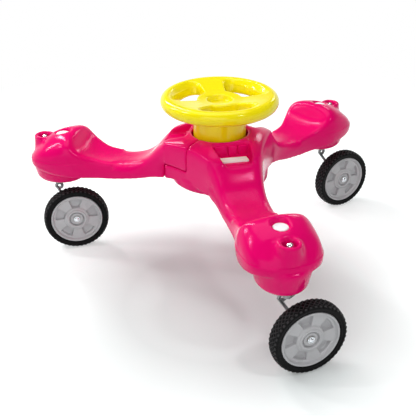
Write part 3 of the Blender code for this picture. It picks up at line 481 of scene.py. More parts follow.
def rubber_compound():
    """Black rubber whose tread ridges are painted grey as a highlight: the tyre's mesh carries a
    ridge attribute.
    """
    finish = worn("solid rubber", "rubber",
                  (0.0035, 0.0033, 0.0036, 1), (0.006, 0.0055, 0.006, 1),
                  0.26, 0.40, 60, 0.0, 0.00010, 0.08)
    tree = finish.node_tree
    shader = tree.nodes["Principled BSDF"]
    black = shader.inputs["Base Color"].links[0].from_socket
    ridge = tree.nodes.new("ShaderNodeAttribute")
    ridge.attribute_name = "ridge"
    # Painted highlight: the tread ridges are painted a lighter grey, where they would catch the
    # light.
    ridge_highlight = tree.nodes.new("ShaderNodeMix")
    ridge_highlight.data_type = "RGBA"
    tree.links.new(mapped(tree, ridge.outputs["Fac"], 0.0, 1.0, 0.35, 1.0),
                   ridge_highlight.inputs["Factor"])
    tree.links.new(black, ridge_highlight.inputs["A"])
    ridge_highlight.inputs["B"].default_value = (0.048, 0.046, 0.048, 1)
    tree.links.new(ridge_highlight.outputs["Result"], shader.inputs["Base Color"])
    return finish


rubber = rubber_compound()
steel = worn("dull zinc", "steel", (0.30, 0.30, 0.31, 1), (0.20, 0.20, 0.205, 1), 0.26, 0.46, 90,
             1.0, 0.00004)
chrome = worn("bright plate", "chrome", (0.80, 0.82, 0.85, 1), (0.66, 0.68, 0.71, 1), 0.08, 0.22,
              120, 1.0, 0.00001)

# %% [markdown]
# ## The body: one arm as a tube of sections
# The body is blow moulded: a soft hollow shape with no flat face. Such a form is best
# drawn as a coarse cage that a subdivision surface rounds. One ring of fourteen corners
# is a section across an arm. It is extruded along the arm again and again, and each new
# ring is put on the next section of the table. The hub is the same trick inwards.
# Three turned copies of the arm then share their edges in the corners between them.

# %% Sections across an arm
ACROSS = (-1.0, -0.62, 0.0, 0.62, 1.0)
# distance, bow, half widths top/side/wide/foot, heights centre/edge/side/wide/foot
HUB_SECTIONS = (
    (0.132, -0.014, 0.0700, 0.0740, 0.0770, 0.0765, 0.158, 0.1610, 0.148, 0.100, 0.062),
    (0.147, -0.003, 0.0620, 0.0650, 0.0680, 0.0675, 0.146, 0.1475, 0.134, 0.090, 0.057),
    (0.170, 0.000, 0.0580, 0.0605, 0.0630, 0.0625, 0.113, 0.1140, 0.102, 0.076, 0.053),
    (0.190, 0.000, 0.0555, 0.0590, 0.0620, 0.0620, 0.092, 0.0945, 0.083, 0.065, 0.047),
    (0.224, 0.000, 0.0520, 0.0560, 0.0595, 0.0595, 0.078, 0.0815, 0.071, 0.057, 0.040),
    (0.2725, 0.000, 0.0510, 0.0545, 0.0580, 0.0585, 0.072, 0.0765, 0.067, 0.052, 0.034),
)
END_SECTIONS = (      # distances from the swivel axis
    (-0.138, 0.000, 0.0530, 0.0570, 0.0610, 0.0610, 0.076, 0.0810, 0.070, 0.053, 0.032),
    (-0.109, -0.004, 0.0620, 0.0670, 0.0700, 0.0680, 0.086, 0.0925, 0.080, 0.058, 0.033),
    (-0.084, -0.004, 0.0700, 0.0775, 0.0800, 0.0765, 0.104, 0.1060, 0.092, 0.062, 0.034),
    (-0.070, -0.004, 0.0710, 0.0830, 0.0850, 0.0800, 0.136, 0.1240, 0.101, 0.066, 0.035),
    (-0.055, -0.004, 0.0700, 0.0870, 0.0895, 0.0840, 0.1445, 0.1310, 0.104, 0.069, 0.037),
    (-0.020, -0.006, 0.0650, 0.0875, 0.0915, 0.0860, 0.1385, 0.1225, 0.101, 0.071, 0.042),
    (0.014, -0.012, 0.0580, 0.0830, 0.0890, 0.0845, 0.1240, 0.1120, 0.096, 0.071, 0.048),
)
TIP_REACH = (0.000, 0.002, -0.013, -0.030)
TIP_WIDTH = (0.0760, 0.0795, 0.0720, 0.0490)
TIP_HEIGHT = (0.0550, 0.0740, 0.0930, 0.1060)
TIP_ROUNDING = (0.030, 0.030, 0.026, 0.016)
VALLEY_HEIGHTS = (0.070, 0.100, 0.151, 0.163)
HUB_HEIGHT, WELL_RADIUS, WELL_DEPTH = 0.175, 0.0712, 0.042
TOP = 3


def section(row, distance):
    _, bow, top, side, wide, foot, centre, edge, side_z, wide_z, foot_z = row
    widths, heights = (foot, wide, side, top), (foot_z, wide_z, side_z, edge)
    points = {}
    for column, u in enumerate(ACROSS):
        for level in range(4):
            height = heights[level] if level < TOP else centre + (edge - centre) * u * u
            points[column, level] = Vector((distance + bow * u * u, widths[level] * u, height))
    return points


def tip():
    points = {}
    for column, u in enumerate(ACROSS):
        for level in range(4):
            x = swivel_distance + 0.0585 + TIP_REACH[level] - TIP_ROUNDING[level] * abs(u) ** 3
            points[column, level] = Vector((x, TIP_WIDTH[level] * u, TIP_HEIGHT[level]))
    return points


def valley():
    """The section whose ends lie in the corners between neighbouring arms."""
    points = {}
    for column, u in enumerate(ACROSS):
        angle = math.radians(60 * u)
        for level, height in enumerate(VALLEY_HEIGHTS):
            reach, lift = 0.1225, 0.0
            if level == TOP:
                reach -= 0.004 + (1 - abs(u)) * 0.006
                lift = (1 - u * u) * 0.009
            points[column, level] = Vector((reach * math.cos(angle), reach * math.sin(angle),
                                            height + lift))
    return points


def hub_ring(radius):
    points = {}
    for column in range(5):
        angle = math.radians(30 * column - 60)
        for level, height in ((0, VALLEY_HEIGHTS[0]), (TOP, HUB_HEIGHT)):
            points[column, level] = Vector((radius * math.cos(angle), radius * math.sin(angle),
                                            height))
    return points


# %% Extrude the ring along the arm
RING = ([(c, TOP) for c in range(5)] + [(4, 2), (4, 1)] + [(c, 0) for c in range(4, -1, -1)]
        + [(0, 1), (0, 2)])


def onward(shape, named, edges, points, rename=None):
    """Extrude edges, and put each new corner on the point that its old corner's name gives."""
    fresh = bmesh.ops.extrude_edge_only(shape, edges=edges)["geom"]
    corners = [item for item in fresh if isinstance(item, bmesh.types.BMVert)]
    names = {}
    for corner in corners:
        old = next(edge.other_vert(corner) for edge in corner.link_edges
                   if edge.other_vert(corner) in named)
        names[corner] = rename(named[old]) if rename else named[old]
        corner.co = points[names[corner]]
    line = [item for item in fresh if isinstance(item, bmesh.types.BMEdge)
            and all(vert in names for vert in item.verts)]
    return names, line


def chain(shape, names, level):
    """The edges between corners of one level, across the arm."""
    found = []
    for first, second in ((a, b) for a in names for b in names):
        if names[first][1] == names[second][1] == level and names[first][0] + 1 == names[second][0]:
            edge = shape.edges.get((first, second))
            if edge:
                found.append(edge)
    return found


def arm_cage():
    """A third of the body: from the middle of the hub to an arm's outer end."""
    shape = bmesh.new()
    crease = shape.edges.layers.float.new("crease_edge")
    start = valley()
    verts = bmesh.ops.create_circle(shape, segments=len(RING), radius=0.1)["verts"]
    named = dict(zip(verts, RING))
    for vert, name in named.items():
        vert.co = start[name]
    first, edges = named, shape.edges[:]
    rows = [section(row, row[0]) for row in HUB_SECTIONS]
    rows += [section(row, swivel_distance + row[0]) for row in END_SECTIONS] + [tip()]
    for row in rows:
        before = named
        named, edges = onward(shape, named, edges, row)
        for vert, name in named.items():
            if name in ((0, 0), (4, 0)):
                old = next(e for e in vert.link_edges if e.other_vert(vert) in before)
                old[crease] = 0.7
    for edge in chain(shape, named, 0):
        edge[crease] = 0.7
    names, line = named, chain(shape, named, TOP)
    for level in (2, 1, 0):
        names, line = onward(shape, names, line, rows[-1], lambda name, at=level: (name[0], at))
    for level in (TOP, 0):
        names, line = first, chain(shape, first, level)
        for radius in (0.092, 0.060):
            names, line = onward(shape, names, line, hub_ring(radius))
    bmesh.ops.remove_doubles(shape, verts=shape.verts, dist=1e-6)
    return shape


def body_cage():
    shape = arm_cage()
    turns = [math.atan2(arm_place[arm][1][0], arm_place[arm][0][0]) for arm in arm_place]
    whole = shape.verts[:] + shape.edges[:] + shape.faces[:]
    shape.transform(Matrix.Rotation(turns[0], 4, "Z"))
    bmesh.ops.spin(shape, geom=whole, cent=(0, 0, 0), axis=(0, 0, 1),
                   angle=math.radians(240), steps=2, use_duplicate=True)
    bmesh.ops.remove_doubles(shape, verts=shape.verts, dist=1e-5)
    for level in (VALLEY_HEIGHTS[0], HUB_HEIGHT):
        rim = [edge for edge in shape.edges if edge.is_boundary
               and all(abs(vert.co.z - level) < 1e-5 for vert in edge.verts)]
        bmesh.ops.contextual_create(shape, geom=rim)
    shape.transform(steering_place)
    return shape


cage = body_cage()
print("body cage:", len(cage.verts), "corners,", len(cage.faces), "faces,",
      sum(edge.is_boundary for edge in cage.edges), "open edges")

# %% [markdown]
# ## The body: what is added and what is cut
# The caster cups, the bosses round the outer bolts and the plinth under the hub are
# turned solids that are joined to the smoothed cage. The well of the steering wheel, the
# pocket in each ramp and the bolt recesses are cut out of it. A skin of small even faces
# is then drawn over everything and relaxed, which rounds every edge by a few millimetres,
# as on the real moulding. The ramps get many more passes, so that they run into the
# saddles without a kink.

# %% Turned solids and cutters of the body
BOLT_SPREAD = 0.027            # from a swivel axis to the bolt on each side of it
BOSS_TOP, BOLT_SEAT = 0.1215, 0.0988
CAP_TOP = 0.1290
BOLT_HOLE, SWIVEL_HOLE = 0.0063, 0.0118
CUP_RADIUS, CUP_ROUNDING, CUP_TOP = 0.0645, 0.018, 0.062
CUP_STRETCH = (1.20, 1.03)     # the cup is an oval, longer along the arm than across
CUP_SET_IN = 0.013             # from the swivel axis in to the middle of the oval
PLINTH_DROP = 0.021
SHELF_HEIGHT, SHELF_REACH = 0.0995, 0.1300
SEAM_GAP = 0.0003              # each moulding stays this far back from the seam
POCKET_FLOOR, POCKET_CORNER = 0.139, 0.011
POCKET_PLAN = ((0.080, -0.044), (0.147, -0.031), (0.147, 0.039), (0.080, 0.050))


def added_to(arm):
    place = spot_at(arm, swivel_distance - CUP_SET_IN) @ Matrix.Diagonal((*CUP_STRETCH, 1, 1))
    bolt = spot_at(arm, swivel_distance + BOLT_SPREAD)
    cup = [(0, 0)] + arc((0.0398, CUP_ROUNDING), CUP_ROUNDING, -90, 0, 8)
    cup += [(CUP_RADIUS, 0.050), (CUP_RADIUS, CUP_TOP), (0, CUP_TOP)]
    boss = [(0, 0.082), (0.0305, 0.082), (0.0270, BOSS_TOP - 0.005), (0.0255, BOSS_TOP - 0.0015),
            (0.022, BOSS_TOP), (0, BOSS_TOP)]
    return [solid("cup", turned(cup), place), solid("boss", turned(boss), bolt)]


def cut_from(arm):
    nut = spot_at(arm, swivel_distance + BOLT_SPREAD)
    cap = spot_at(arm, swivel_distance - BOLT_SPREAD)
    nut_hole = [(0, -0.02), (BOLT_HOLE, -0.02), (BOLT_HOLE, BOLT_SEAT), (0.0152, BOLT_SEAT),
                (0.0165, BOSS_TOP - 0.006), (0.0185, BOSS_TOP - 0.001), (0.0215, BOSS_TOP + 0.003),
                (0.0215, 0.17), (0, 0.17)]
    ledge = CAP_TOP - 0.0048
    cap_hole = [(0, -0.02), (BOLT_HOLE, -0.02), (BOLT_HOLE, BOLT_SEAT), (0.0143, BOLT_SEAT),
                (0.0143, ledge), (0.0190, ledge), (0.0204, ledge + 0.008),
                (0.0226, ledge + 0.0130), (0.0262, ledge + 0.0165), (0.0310, ledge + 0.0185),
                (0.0310, 0.20), (0, 0.20)]
    swivel_hole = [(0, -0.02), (SWIVEL_HOLE, -0.02), (SWIVEL_HOLE, 0.052), (0, 0.052)]
    wedge = soft_corners(POCKET_PLAN, POCKET_CORNER)
    return [solid("nut_hole", turned(nut_hole, steps=48), nut),
            solid("cap_hole", turned(cap_hole, steps=48), cap),
            solid("swivel_hole", turned(swivel_hole, steps=32), spot_at(arm, swivel_distance)),
            solid("pocket", raised(wedge, POCKET_FLOOR, 0.195, 0.005), arm_place[arm])]


def well():
    floor, brim = HUB_HEIGHT - WELL_DEPTH, HUB_HEIGHT
    return solid("well", turned([(0, floor), (WELL_RADIUS, floor), (WELL_RADIUS, brim - 0.004),
                                 (WELL_RADIUS + 0.0045, brim + 0.002),
                                 (WELL_RADIUS + 0.0045, brim + 0.05), (0, brim + 0.05)], steps=96),
                 steering_place)


def plinth():
    foot = VALLEY_HEIGHTS[0]
    outline = [(0, foot - PLINTH_DROP), (0.119, foot - PLINTH_DROP), (0.126, foot - 0.015),
               (0.126, foot + 0.004), (0.112, foot + 0.020), (0, foot + 0.020)]
    return solid("plinth", turned(outline, steps=96), steering_place)


def column_bore():
    foot = VALLEY_HEIGHTS[0] - PLINTH_DROP
    outline = [(0, foot - 0.01), (0.016, foot - 0.01), (0.016, foot + 0.016),
               (0.0097, foot + 0.016), (0.0097, HUB_HEIGHT), (0, HUB_HEIGHT)]
    return solid("column_bore", turned(outline, steps=48), steering_place)


# %% The room of the left arm
def left_room(name, gap, inner):
    """The left arm's third round the well, above its shelf and beyond it."""
    shelf, start = SHELF_HEIGHT - gap, SHELF_REACH - gap
    side = [(-0.4, shelf), (start, shelf), (start, -0.1), (0.8, -0.1), (0.8, 0.3), (-0.4, 0.3)]
    shape = bmesh.new()
    face = shape.faces.new([shape.verts.new((x, -0.5, z)) for x, z in side])
    lifted = bmesh.ops.extrude_face_region(shape, geom=[face])["geom"]
    bmesh.ops.translate(shape, vec=(0, 1, 0),
                        verts=[item for item in lifted if isinstance(item, bmesh.types.BMVert)])
    for hand in (-1, 1):
        normal = Vector((-math.sin(math.pi / 3), hand * math.cos(math.pi / 3), 0))
        cut = bmesh.ops.bisect_plane(shape, geom=shape.verts[:] + shape.edges[:] + shape.faces[:],
                                     plane_co=normal * gap, plane_no=normal, clear_outer=True)
        bmesh.ops.contextual_create(shape, geom=[item for item in cut["geom_cut"]
                                                 if isinstance(item, bmesh.types.BMEdge)])
    room = solid(name, shape, arm_place["left"])
    core = solid("core", turned([(0, -0.2), (inner, -0.2), (inner, 0.4), (0, 0.4)], steps=97),
                 steering_place)
    combine(room, [core], "DIFFERENCE")
    return settle(room, core)


# %% Assemble the two mouldings
body = solid("main_body_moulding", cage, recalculate=True)
rounding = body.modifiers.new("rounding", "SUBSURF")
rounding.levels = rounding.render_levels = 3
settle(body)
extra = [tool for arm in ARMS for tool in added_to(arm)] + [plinth()]
combine(body, extra, "UNION")
settle(body, *extra)
holes = [tool for arm in ARMS for tool in cut_from(arm)] + [well()]
combine(body, holes, "DIFFERENCE")
settle(body, *holes)
left = bpy.data.objects.new("left_arm_moulding", body.data.copy())
bpy.context.scene.collection.objects.link(left)
room = left_room("left_room", -SEAM_GAP, WELL_RADIUS + SEAM_GAP)
combine(left, [room], "INTERSECT")
settle(left, room)
tools = [left_room("left_room", SEAM_GAP, WELL_RADIUS - SEAM_GAP), column_bore()]
combine(body, tools, "DIFFERENCE")
settle(body, *tools)
for skin in (body, left):
    moulded(skin, grain=0.0028, passes=5)
    soften(skin, steering_place, inner=0.145, outer=0.285, low=0.060, high=0.190, passes=150)

# %% [markdown]
# ## The body: soft bosses and the line of the mould
# The boss round each outer nut flows into its bulb with a hollow fillet, so the skin gets
# more smoothing there. Below it runs the line where the two halves of the mould met: the
# lower half stands out by less than a millimetre. Two close cuts round the bulb make that
# step crisp, and everything below them moves out.

# %% Bosses and parting lines
BULB_START, LINE_FADE = 0.350, 0.030


def parting_line(made, arm):
    level, ledge = cup_level + 0.076, 0.0013
    shape = bmesh.new()
    shape.from_mesh(made.data)
    outward = (arm_place[arm].to_3x3() @ Vector((1, 0, 0))).normalized()

    def reach(vert):
        return (vert.co - steering_at).dot(outward)

    for height in (level, level + ledge):
        ring = [face for face in shape.faces if abs(face.verts[0].co.z - height) < 0.008
                and reach(face.verts[0]) > BULB_START]
        parts = {edge for face in ring for edge in face.edges}
        parts |= {vert for face in ring for vert in face.verts}
        bmesh.ops.bisect_plane(shape, geom=list(parts) + ring, plane_co=(0, 0, height),
                               plane_no=(0, 0, 1))
    shape.normal_update()
    for vert in shape.verts:
        below = level + 0.00001 - vert.co.z
        if 0 < below < LINE_FADE and reach(vert) > BULB_START:
            side = Vector((vert.normal.x, vert.normal.y, 0))
            fade = min(1.0, (reach(vert) - BULB_START) / LINE_FADE) * (1 - below / LINE_FADE)
            vert.co += side * ledge * fade
    shape.to_mesh(made.data)
    shape.free()
    made.data.shade_smooth()


for arm in ARMS:
    skin = left if arm == "left" else body
    soften(skin, spot_at(arm, swivel_distance + BOLT_SPREAD), 0.0268, 0.052, 0.078, 0.1195, 40)
    parting_line(skin, arm)
keep(body, "body", pink, "main_body")
keep(left, "body", pink, "left_arm")

# %% [markdown]
# ## The steering wheel
# The wheel is one moulding: a rim, a dished face with three windows, and a deep round
# hub. It is turned as one outline and cut by three kidneys, and then gets the same soft
# skin as the body. The spokes run out almost level with the top of the rim.

# %% Steering wheel
RIM_MIDDLE, RIM_THICK, RIM_LEVEL = 0.1295, 0.0185, 0.2560
FACE = RIM_LEVEL + 0.0092      # the level that the spokes' heights are given from
LOW_FACE = FACE - 0.0045       # round the dish
HUB_FOOT, HUB_RADIUS, DISH, DISH_DEPTH = 0.1350, 0.0670, 0.0310, 0.0240
SPOKE_ANGLES = (86, 206, 326)


def kidney(first, last, inner, outer, corner, near_beside, far_beside):
    """The plan of a window between two spokes, with round corners."""
    near, far = inner + corner, outer - corner
    near_cut, far_cut = (math.degrees(math.asin(beside / reach))
                         for beside, reach in ((near_beside, near), (far_beside, far)))
    corners = ((far, last - far_cut, last - far_cut, last + 90),
               (near, last - near_cut, last + 90, last - near_cut + 180),
               (near, first + near_cut, first + near_cut - 180, first - 90),
               (far, first + far_cut, first - 90, first + far_cut))
    rounds = []
    for reach, bearing, begin, end in corners:
        middle = (reach * math.cos(math.radians(bearing)), reach * math.sin(math.radians(bearing)))
        rounds.append(arc(middle, corner, begin, end, 6)[1:])
    points = arc((0, 0), outer, first + far_cut, last - far_cut, 20)
    points += rounds[0] + rounds[1]
    points += arc((0, 0), inner, last - near_cut, first + near_cut, 12)[1:]
    return (points + rounds[2] + rounds[3])[:-1]


def window_plug(first):
    """A window narrows downwards, so its outer wall curves into view like the rim's own tube."""
    shape = bmesh.new()
    for height, closed, sizes in ((FACE - 0.0310, True, (0.0610, 0.1040, 0.015, 0.045, 0.047)),
                                  (FACE - 0.0040, False, (0.0560, 0.1130, 0.017, 0.044, 0.049)),
                                  (FACE + 0.0120, True, (0.0510, 0.1275, 0.019, 0.043, 0.050))):
        ring = [shape.verts.new((x, y, height)) for x, y in kidney(first, first + 120, *sizes)]
        if closed:
            shape.faces.new(ring)
        else:
            for one, other in zip(ring, ring[1:] + ring[:1]):
                shape.edges.new((one, other))
    bmesh.ops.bridge_loops(shape, edges=shape.edges[:])
    return shape


SOCKET_RADIUS, SOCKET_DEPTH = 0.0103, 0.0403
outline = [(0, HUB_FOOT + SOCKET_DEPTH), (SOCKET_RADIUS, HUB_FOOT + SOCKET_DEPTH),
           (SOCKET_RADIUS, HUB_FOOT)]
outline += [(HUB_RADIUS - 0.010, HUB_FOOT), (HUB_RADIUS - 0.003, HUB_FOOT + 0.003),
            (HUB_RADIUS, HUB_FOOT + 0.010), (HUB_RADIUS, FACE - 0.028),
            (HUB_RADIUS + 0.006, FACE - 0.024)]
outline += arc((RIM_MIDDLE, RIM_LEVEL), RIM_THICK, -105, 82, 24)
outline += [(0.120, FACE + 0.0080), (0.100, FACE + 0.0052), (0.080, FACE + 0.0015),
            (0.060, LOW_FACE + 0.0022), (DISH + 0.004, LOW_FACE)]
outline += [(DISH * math.cos(a), LOW_FACE - 0.001 - DISH_DEPTH * math.sin(a))
            for a in (math.radians(9 * n) for n in range(11))]
steering = solid("steering_wheel_moulding", turned(outline, steps=144), steering_place)
kidneys = [solid("window", window_plug(angle), steering_place) for angle in SPOKE_ANGLES]
combine(steering, kidneys, "DIFFERENCE")
settle(steering, *kidneys)
moulded(steering, grain=0.0017, passes=12)
keep(steering, "steering", yellow, "steering_wheel")

# %% [markdown]
# ## Wheel rims
# Each rim is a grey moulding with a raised lip, a flat web with five wedge pockets and a
# stepped boss round the screw. It is turned, cut and skinned once, and the other two are
# copies on their own axles.

# %% Rim
def rim_moulding():
    outline = [(0.0082, -0.0145), (0.0175, -0.0145), (0.0185, -0.0105), (0.0610, -0.0105),
               (0.0630, -0.0145), (0.0697, -0.0145), (0.0697, 0.0140), (0.0690, 0.0162),
               (0.0672, 0.0167), (0.0652, 0.0160), (0.0620, 0.0085), (0.0335, 0.0085),
               (0.0320, 0.0120), (0.0272, 0.0135), (0.0266, 0.0158), (0.0245, 0.0167),
               (0.0212, 0.0162), (0.0204, 0.0150), (0.0200, 0.0080), (0.0172, 0.0080),
               (0.0168, 0.0132), (0.0118, 0.0132), (0.0108, 0.0125), (0.0082, 0.0125)]
    made = solid("rim", turned(outline, steps=144, closed=True))
    wedges = []
    for n in range(5):
        middle = 180 + 72 * n
        plan = arc((0, 0), 0.0570, middle - 18, middle + 18, 8)
        plan += arc((0, 0), 0.0335, middle + 16, middle - 16, 5)
        wedges.append(solid("wedge", raised(plan, -0.0010, 0.0145, 0.0010)))
    combine(made, wedges, "DIFFERENCE")
    settle(made, *wedges)
    return moulded(made, grain=0.0010, passes=3)


rim = rim_moulding()

# %% [markdown]
# ## Tyres
# The tyre's tread is a net of thin ridges that cross in diamonds, with a row of lugs on
# each shoulder. The outline is spun finely, and then each point of the crown is lowered
# unless a ridge passes there: a sculptor's move, written as a small formula.

# %% Tyre
TREADS = 46
WALL_TOP, TREAD_DEPTH = 0.0830, 0.0028      # the tread starts at this radius


def bump_of(t, width):
    """1 on the middle of a ridge that passes at whole numbers, falling to 0 beside it."""
    off = abs(t - round(t))
    return max(0.0, 1 - (off / width) ** 2)


def tyre_shape():
    half = [(0.0700, -0.0145), (0.0715, -0.0165), (0.0745, -0.0172), (0.0760, -0.0166),
            (0.0775, -0.0174), (0.0810, -0.0180), (0.0845, -0.0172), (0.0868, -0.0150),
            (0.0882, -0.0095)]
    outline = half + [(0.0890, 0.0)] + [(radius, -height) for radius, height in reversed(half)]
    shape = wire(outline, 0.0008, 2, closed=True)
    while True:
        long = [edge for edge in shape.edges if edge.calc_length() > 0.0015]
        if not long:
            break
        bmesh.ops.subdivide_edges(shape, edges=long, cuts=1)
    bmesh.ops.spin(shape, geom=shape.verts[:] + shape.edges[:], cent=(0, 0, 0), axis=(0, 0, 1),
                   angle=2 * math.pi, steps=8 * TREADS, use_merge=True, use_duplicate=False)
    # The ridge height is kept on the mesh; the rubber paints the ridges lighter with it, a painted
    # highlight.
    ridge_highlight = shape.verts.layers.float.new("ridge")
    for vert in shape.verts:
        radius = math.hypot(vert.co.x, vert.co.y)
        if radius < WALL_TOP:
            continue
        around = math.atan2(vert.co.y, vert.co.x) / (2 * math.pi) * TREADS
        across = vert.co.z / 0.0120
        ridge = max(bump_of(around + across, 0.17), bump_of(around - across, 0.17))
        lug = bump_of(around + (0.5 if vert.co.z > 0 else 0.0), 0.42)
        edge = min(1.0, max(0.0, (abs(vert.co.z) - 0.0105) / 0.003))
        height = ridge * (1 - edge) + max(ridge * 0.4, lug) * edge
        fade = min(1.0, (radius - WALL_TOP) / 0.0025)
        vert[ridge_highlight] = height * fade
        lower = TREAD_DEPTH * (1 - height) * fade
        vert.co.x *= 1 - lower / radius
        vert.co.y *= 1 - lower / radius
    return shape


# %% [markdown]
# ## Rods, washers and screws
# One steel rod is the stem, the slanting leg and the axle of a caster, with an eye where
# it leaves its tube. A curve with a round bevel is the quickest bent bar, and its mesh is
# kept. The washer and the screw are turned, and a cross is cut in the screw's head.

# %% Rods, washers and screws
def rod(name, points, radius):
    """A round bar along a path: a curve with a bevel, kept as a mesh."""
    curve = bpy.data.curves.new(name, "CURVE")
    curve.dimensions = "3D"
    curve.bevel_depth = radius
    curve.bevel_resolution = 6
    curve.use_fill_caps = True
    line = curve.splines.new("POLY")
    line.points.add(len(points) - 1)
    for point, at in zip(line.points, points):
        point.co = (*at, 1)
    temporary = bpy.data.objects.new(name, curve)
    bpy.context.scene.collection.objects.link(temporary)
    graph = bpy.context.evaluated_depsgraph_get()
    mesh = bpy.data.meshes.new_from_object(temporary.evaluated_get(graph))
    bpy.data.objects.remove(temporary, do_unlink=True)
    shape = bmesh.new()
    shape.from_mesh(mesh)
    bmesh.ops.remove_doubles(shape, verts=shape.verts, dist=1e-6)
    return shape


def leg_shape():
    """Stem, eye, slanting leg and axle, bent from one rod."""
    radius, eye_radius, trail, offset, drop = 0.0042, 0.0078, 0.0374, 0.0573, 0.031
    axle_z = 0.089 - cup_level
    eye = Vector((0, 0, -drop))
    corner = Vector((offset - 0.0145 - 0.0028 - 0.009 - radius, trail, axle_z))
    slant = (corner - eye).normalized()
    start = eye + Vector((0, slant.z, -slant.y)).normalized() * eye_radius
    into = (corner - start).normalized()
    first, last = corner - into * 0.009, corner + Vector((0.009, 0, 0))
    path = [start - into * 0.004]
    for step in range(13):
        t = step / 12
        path.append(first * (1 - t) ** 2 + corner * 2 * t * (1 - t) + last * t * t)
    path.append(Vector((offset + 0.0135, trail, axle_z)))
    shape = rod("leg", path, radius)
    stem_ends = [Vector((0, 0, -drop + eye_radius)), Vector((0, 0, 0.0483))]
    stem = rod("stem", stem_ends, radius - 0.0001)
    ring = turned([(eye_radius + radius * math.cos(a), radius * math.sin(a))
                   for a in (2 * math.pi * n / 16 for n in range(16))], steps=40, closed=True)
    ring.transform(Matrix.Translation(eye) @ Matrix.Rotation(math.pi / 2, 4, "Y"))
    take_in(shape, stem)
    take_in(shape, ring)
    return shape


def washer_shape():
    low = 0.0148
    return turned([(0.0022, low), (0.0085, low), (0.0085, low + 0.0015), (0.0022, low + 0.0015)],
                  0.0003, 48, 2, closed=True)


def screw_object(place):
    """A domed head on a short shank, with a cross slot cut in it."""
    under = 0.0166
    top = under + 0.0036
    outline = [(0, under - 0.012), (0.0019, under - 0.012), (0.0019, under), (0.0062, under),
               (0.0060, under + 0.0014), (0.0045, under + 0.0028), (0.0025, top), (0, top)]
    head = solid("screw", turned(outline, 0.0003, 48, 2), place)
    slots_cut = []
    for n in range(2):
        shape = bmesh.new()
        bmesh.ops.create_cube(shape, size=1.0)
        shape.transform(Matrix.Rotation(math.pi / 2 * n + 0.4, 4, "Z")
                        @ Matrix.Translation((0, 0, top))
                        @ Matrix.Diagonal((0.0066, 0.0014, 0.0036, 1)))
        slots_cut.append(solid("slot", shape, place))
    combine(head, slots_cut, "DIFFERENCE")
    return settle(head, *slots_cut)


# %% The wheels on their axles
rolled = {"front": 13, "left": 0, "right": 0}      # how far each wheel has rolled, in degrees
for arm in ARMS:
    mesh = rim.data.copy()
    mesh.transform(wheel_place[arm] @ Matrix.Rotation(math.radians(rolled[arm]), 4, "Z"))
    made = bpy.data.objects.new("wheel_rim_moulding_" + arm, mesh)
    bpy.context.scene.collection.objects.link(made)
    keep(made, "wheel_" + arm, grey, "wheel_rim_" + arm)
    tyre = solid("tyre_rubber_" + arm, tyre_shape(), wheel_place[arm])
    keep(tyre, "wheel_" + arm, rubber, "tyre_" + arm)
    washer = solid("axle_washer_plate_" + arm, washer_shape(), wheel_place[arm])
    keep(washer, "wheel_" + arm, chrome, "axle_washer_" + arm, corners=40)
    screw = screw_object(wheel_place[arm])
    screw.name = "axle_screw_plate_" + arm
    keep(screw, "wheel_" + arm, chrome, "axle_screw_" + arm, corners=40)
    leg = solid("caster_rod_" + arm, leg_shape(), caster_place[arm])
    keep(leg, "caster_" + arm, steel, "caster_leg_" + arm, corners=50)
bpy.data.objects.remove(rim, do_unlink=True)


# %% [markdown]
# ## Caps and nuts on the arms
# Each arm shows a white push-in cap in a round recess, and a plated acorn nut in the
# boss. The nut is a hexagon with a dome: six sides extruded and bevelled, and a turned
# cap on top.

# %% Caps and nuts
def nut_shape():
    low, flat, across_flats, dome_radius = BOLT_SEAT + 0.0003, BOLT_SEAT + 0.0103, 0.019, 0.0088
    shape = bmesh.new()
    bmesh.ops.create_circle(shape, segments=6, radius=across_flats / 2 / math.cos(math.pi / 6),
                            cap_ends=True)
    bmesh.ops.translate(shape, verts=shape.verts, vec=(0, 0, low))
    lifted = bmesh.ops.extrude_face_region(shape, geom=shape.faces[:])["geom"]
    bmesh.ops.translate(shape, vec=(0, 0, flat - low),
                        verts=[item for item in lifted if isinstance(item, bmesh.types.BMVert)])
    bmesh.ops.bevel(shape, geom=shape.edges[:], offset=0.0006, offset_type="OFFSET", segments=2,
                    profile=0.5, affect="EDGES", material=-1)
    outline = [(0, flat - 0.002), (dome_radius, flat - 0.002), (dome_radius, flat + 0.001)]
    outline += [(dome_radius * math.cos(a), flat + 0.001 + 0.009 * math.sin(a))
                for a in (math.radians(10 * n) for n in range(1, 9))]
    dome = turned(outline + [(0, flat + 0.010)], steps=48)
    take_in(shape, dome)
    return shape


for arm in ARMS:
    nut = solid("acorn_nut_plated_" + arm, nut_shape(), spot_at(arm, swivel_distance + BOLT_SPREAD))
    keep(nut, "body", chrome, "acorn_nut_" + arm, corners=40)
    under = CAP_TOP - 0.0045
    cap = turned([(0, under - 0.002), (0.011, under - 0.002), (0.011, under - 0.006),
                  (0.014, under - 0.006), (0.014, under), (0.0172, under),
                  (0.0172, CAP_TOP - 0.0012), (0.0150, CAP_TOP), (0, CAP_TOP + 0.0008)],
                 0.0008, 64, 3)
    keep(solid("push_in_cap_" + arm, cap, spot_at(arm, swivel_distance - BOLT_SPREAD)),
         "body", white, "bolt_cap_" + arm)

# %% [markdown]
# ## The relief in the pockets
# The back wall of each pocket is stepped: a broad block in the middle and a panel on each
# side, all with rounded edges that catch the light in small points. They are thin slabs
# that stand on the soft wall, so their edges can be finer than the skin's.

# %% Panels and pips on the back walls
# first and last edge across the arm, distance of the front, height of the top
PANELS = ((-0.039, -0.008, 0.0832, 0.1665), (-0.003, 0.018, 0.0858, 0.1650),
          (0.023, 0.047, 0.0832, 0.1640))
PIP_RADIUS, PIP_INSET = 0.0018, 0.0022


